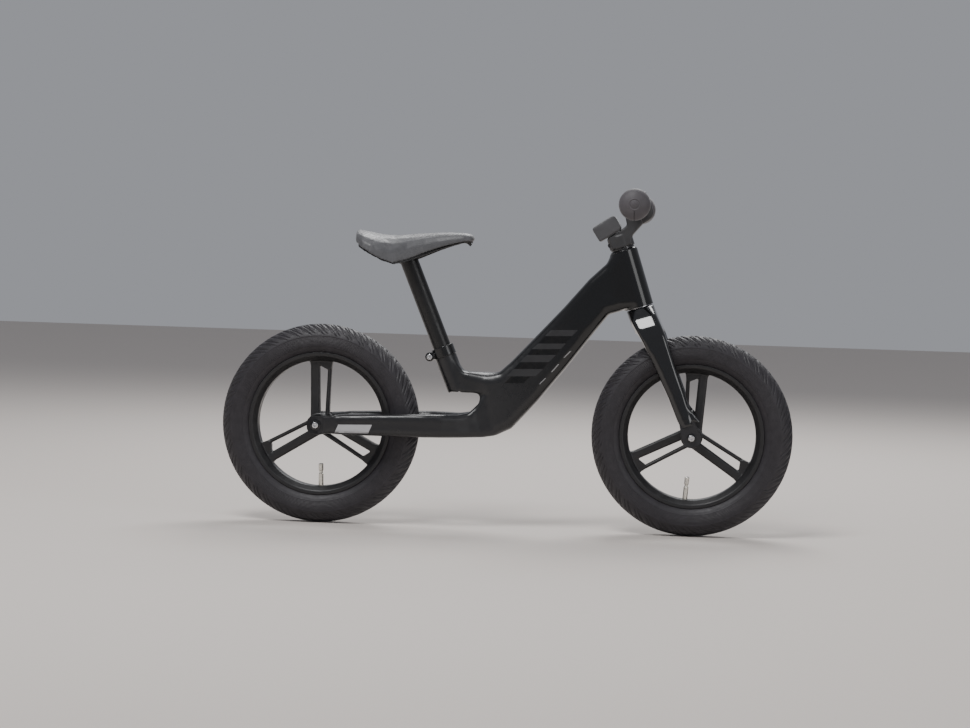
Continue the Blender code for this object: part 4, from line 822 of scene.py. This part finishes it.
def build_grip(name, side):
    """A rubber grip: ribbed handle, flange on the inside, and a round safety end with a ring and a slit."""
    end = BAR_HALF_WIDTH
    bulb = end - GRIP_BULB_DEPTH
    flange = GRIP_START
    # The end's face with its ring, the bulb's outer and inner half, the ribs, the flange and the bore
    profile = [(0, end - 0.0004), (0.0055, end - 0.0005), (0.0062, end - 0.0011), (0.0072, end - 0.0011),
               (0.0079, end - 0.0007)]
    for step in range(4, 21):
        angle = step / 20 * math.pi / 2
        reach = GRIP_BULB_R * math.sin(angle)
        if reach > GRIP_FACE_R:
            profile.append((reach, bulb + GRIP_BULB_DEPTH * math.cos(angle)))
    for step in range(1, 9):
        angle = step / 8 * math.pi / 2
        profile.append((GRIP_BULB_R - 0.0078 * (1 - math.cos(angle)), bulb - 0.0155 * math.sin(angle)))
    start, last = flange + 0.013, bulb - 0.018
    for rib in range(GRIP_RIBS):
        for share, rise in ((0.0, -RIB_HEIGHT), (0.25, 0.0), (0.7, 0.0), (0.95, -RIB_HEIGHT)):
            profile.append((GRIP_R + rise, last - (last - start) * (rib + share) / GRIP_RIBS))
    bore_r, bore_end = BAR_R + GAP, end - 0.006
    profile += [(GRIP_R, flange + 0.011), (0.0170, flange + 0.0075), (0.0183, flange + 0.0062),
                (GRIP_FLANGE_R, flange + 0.0050), (GRIP_FLANGE_R, flange + 0.0008), (0.0180, flange),
                (bore_r, flange), (bore_r, bore_end), (0, bore_end)]
    place = across_bike(BAR_CENTRE, side)
    grip = turned(name + "_rubber", profile, place, 96)
    flip = Matrix.Rotation(math.pi, 4, "Z") if side > 0 else Matrix.Identity(4)
    slit = box_of("slit", (-GRIP_SLIT / 2, -0.030, bulb - 0.004), (GRIP_SLIT / 2, -0.0095, end + 0.002),
                  place @ flip)
    core = [(0, bulb + 0.0115), (GRIP_CORE_R, bulb + 0.004), (GRIP_CORE_R, bulb - 0.03), (0, bulb - 0.03)]
    boolean(slit, [turned("core", core, place, 48)])
    boolean(grip, [slit])
    stand_for(grip, name, 40)


# ---------------------------------------------------------------- soft pieces

CLOTH_FRAMES = 20
CLOTH_SETTINGS = {
    "quality": 4,
    "mass": 0.3,
    "tension_stiffness": 25,
    "compression_stiffness": 25,
    "shear_stiffness": 15,
    "bending_stiffness": 2.0,
    "use_pressure": True,
    "uniform_pressure_force": 4,
    "vertex_group_mass": "held",
}
MOST_SWELL = 0.0010
HELD_WITHIN = 0.0012  # how near a hard node the skin is held, and how far off it is free
FREE_FROM = 0.0035


def padded_piece(node, voxel, rounds, shrink, near_nodes):
    """A foam-filled skin: the CAD solid, a little smaller, let swell a little by a cloth simulation."""
    piece = link(node + "_padding", cad_mesh(node + "_padding", node))
    remeshed(piece, voxel)
    mesh = piece.data
    smoothed(mesh, rounds)
    points = points_of(mesh)
    normals = np.empty(len(mesh.vertices) * 3)
    mesh.vertices.foreach_get("normal", normals)
    trees = [tree_of(NODES[name].data) for name in near_nodes]
    away = np.array([min(tree.find_nearest(Vector(point))[3] for tree in trees) for point in points])
    free = smooth_step(away, HELD_WITHIN, FREE_FROM)
    start = points - normals.reshape(-1, 3) * (shrink * free)[:, None]
    put_points(mesh, start)
    group = piece.vertex_groups.new(name="held")
    for index, share in enumerate(free):
        if share < 0.99:
            group.add([index], float(1 - share), "REPLACE")
    cloth = piece.modifiers.new("cloth", "CLOTH")
    for key, value in CLOTH_SETTINGS.items():
        setattr(cloth.settings, key, value)
    cloth.settings.effector_weights.gravity = 0
    cloth.point_cache.frame_start = 1
    cloth.point_cache.frame_end = CLOTH_FRAMES
    scene = bpy.context.scene
    for step in range(1, CLOTH_FRAMES + 1):
        scene.frame_set(step)
    graph = bpy.context.evaluated_depsgraph_get()
    swollen = points_of(piece.evaluated_get(graph).to_mesh())
    piece.modifiers.clear()
    scene.frame_set(1)
    move = swollen - start
    size = np.linalg.norm(move, axis=1)
    move *= np.minimum(1, MOST_SWELL / np.maximum(size, 1e-9))[:, None]
    put_points(mesh, start + move * free[:, None])
    smoothed(mesh, 2)
    modifier = piece.modifiers.new("finer", "SUBSURF")
    modifier.levels = modifier.render_levels = 1
    baked(piece)
    stand_for(piece, node, 60)


# ---------------------------------------------------------------- stripes on the frame, and painted highlights along its lower edge

FILM_ABOVE = 0.00012
FILM_BELOW = 0.0002
FILM_COLUMNS = 22
FILM_ROWS = 5


def build_stripe(name, corners, side, material, tree):
    """A thin film on the frame's side, between four corners given along and above the bike."""
    outer, inner = [], []
    for i in range(FILM_COLUMNS + 1):
        for k in range(FILM_ROWS + 1):
            u, v = i / FILM_COLUMNS, k / FILM_ROWS
            low = [corners[0][a] * (1 - u) + corners[3][a] * u for a in (0, 1)]
            high = [corners[1][a] * (1 - u) + corners[2][a] * u for a in (0, 1)]
            x, z = (low[a] * (1 - v) + high[a] * v for a in (0, 1))
            spot, normal = tree.ray_cast(Vector((x + REAR_AXLE.x, side * 0.1, z)), Vector((0, -side, 0)))[:2]
            if spot is None:
                raise ValueError(name + " misses the frame")
            outer.append(spot + normal * FILM_ABOVE)
            inner.append(spot - normal * FILM_BELOW)
    grid = np.arange(len(outer)).reshape(FILM_COLUMNS + 1, FILM_ROWS + 1).tolist()
    count = len(outer)
    faces = []
    for near, far in zip(grid, grid[1:]):
        for k in range(FILM_ROWS):
            a, b, c, d = near[k], far[k], far[k + 1], near[k + 1]
            faces += [(a, b, c, d), (count + d, count + c, count + b, count + a)]
    rim = grid[0] + [line[-1] for line in grid[1:]] + grid[-1][-2::-1] + [line[0] for line in grid[-2:0:-1]]
    for here, there in zip(rim, rim[1:] + rim[:1]):
        faces.append((here, there, count + there, count + here))
    stripe = link(name, mesh_of(name, outer + inner, faces))
    shade(stripe.data, 50)
    stripe.data.materials.append(material)
    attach(stripe, "frame")


# Each film's tone and its lower rear corner, upper rear, upper front and lower front, from the rear axle
# forward and from the ground up
STRIPES_AND_PAINTED_HIGHLIGHTS = (
    ("light", ((0.3390, 0.2949), (0.3477, 0.3042), (0.3882, 0.3055), (0.3795, 0.2962))),
    ("light", ((0.3200, 0.2748), (0.3288, 0.2833), (0.3708, 0.2847), (0.3636, 0.2762))),
    ("light", ((0.3026, 0.2547), (0.3128, 0.2655), (0.3564, 0.2670), (0.3462, 0.2561))),
    ("light", ((0.2836, 0.2330), (0.2939, 0.2438), (0.3375, 0.2453), (0.3273, 0.2344))),
    ("dark", ((0.3293, 0.2838), (0.3387, 0.2944), (0.3790, 0.2957), (0.3706, 0.2852))),
    ("dark", ((0.3133, 0.2660), (0.3197, 0.2743), (0.3631, 0.2757), (0.3566, 0.2675))),
    ("dark", ((0.2944, 0.2443), (0.3021, 0.2542), (0.3457, 0.2556), (0.3377, 0.2458))),
    ("dark", ((0.2809, 0.2223), (0.2897, 0.2324), (0.3183, 0.2334), (0.3096, 0.2233))),
    # The three thin light films below are painted highlights that stand in for the reflections along the
    # beam's lower chamfer, between the stripes
    ("painted_highlight", ((0.3677, 0.2636), (0.3772, 0.2737), (0.3792, 0.2737), (0.3697, 0.2636))),
    ("painted_highlight", ((0.3496, 0.2412), (0.3598, 0.2536), (0.3618, 0.2536), (0.3516, 0.2412))),
    ("painted_highlight", ((0.3322, 0.2226), (0.3409, 0.2319), (0.3429, 0.2319), (0.3342, 0.2226))),
    ("badge", ((0.0290, 0.1405), (0.0345, 0.1530), (0.0855, 0.1545), (0.0800, 0.1415))),
)


def build_stripes_and_painted_highlights(frame_piece):
    tree = tree_of(frame_piece.data)
    films = {
        "light": surface("film_grey", (0.022, 0.022, 0.024), 0.42, grain=0.05, mottle=0.1),
        "dark": surface("film_black", (0.0022, 0.0022, 0.0025), 0.2, grain=0.03, mottle=0.1),
        "badge": surface("film_white", (0.45, 0.45, 0.46), 0.4, grain=0.05, mottle=0.05),
        # A light metallic film that paints a highlight along the beam's lower edge
        "painted_highlight": surface("painted_highlight_film", (0.32, 0.32, 0.33), 0.3, metallic=0.7, grain=0.05),
    }
    for side_name, side in LEFT_RIGHT:
        for number, (tone, corners) in enumerate(STRIPES_AND_PAINTED_HIGHLIGHTS):
            build_stripe(f"frame_film_{number}_{side_name}", corners, side, films[tone], tree)


build_camera()
build_studio()
frame_piece = build_frame()
build_fork()
build_stripes_and_painted_highlights(frame_piece)
AXLES = (("front", FRONT_AXLE), ("rear", REAR_AXLE))
for end, centre in AXLES:
    build_wheel(end, centre)
    build_tyre(end, centre)
for side_name, side in LEFT_RIGHT:
    build_grip("grip_" + side_name, side)
padded_piece("saddle_cover", 0.0018, 5, 0.0003, ["saddle_shell"])
padded_piece("stem_pad", 0.0016, 14, 0.0005, ["stem", "top_cap"])
# Each node's voxel, rounds of smoothing, and the tube that is made round between two radii, if any
for node, voxel, rounds, place, least, most in (
    ("stem", 0.0009, 26, None, 0, 0),
    ("stem_faceplate", 0.0007, 5, None, 0, 0),
    ("seat_collar", 0.0007, 3, SEATING, 0.012, 0.0175),
    ("seatpost", 0.0009, 8, SEATING, 0.009, 0.0139),
    ("saddle_shell", 0.0012, 3, None, 0, 0),
):
    softened(node, voxel, rounds, place, least, most)
for node, place in (
    ("headset_cover", STEERING), ("stem_spacer", STEERING), ("handlebar", across_bike(BAR_CENTRE)),
):
    lathed(node, place, CAD_TUBE_STEPS)
for end, centre in AXLES:
    for side_name, side in LEFT_RIGHT:
        place = across_bike(centre, side)
        for kind in ("spacer", "washer"):
            lathed(f"{end}_{kind}_{side_name}", place, CAD_TUBE_STEPS)
        bolt = f"{end}_axle_bolt_{side_name}"
        top = max(abs(corner.y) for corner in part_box(bolt))
        lathed(bolt, place, CAD_BOLT_STEPS, (SOCKET_R, top, SOCKET_DEPTH))
for name, node in NODES.items():
    if not node.hide_render:
        dress(name)
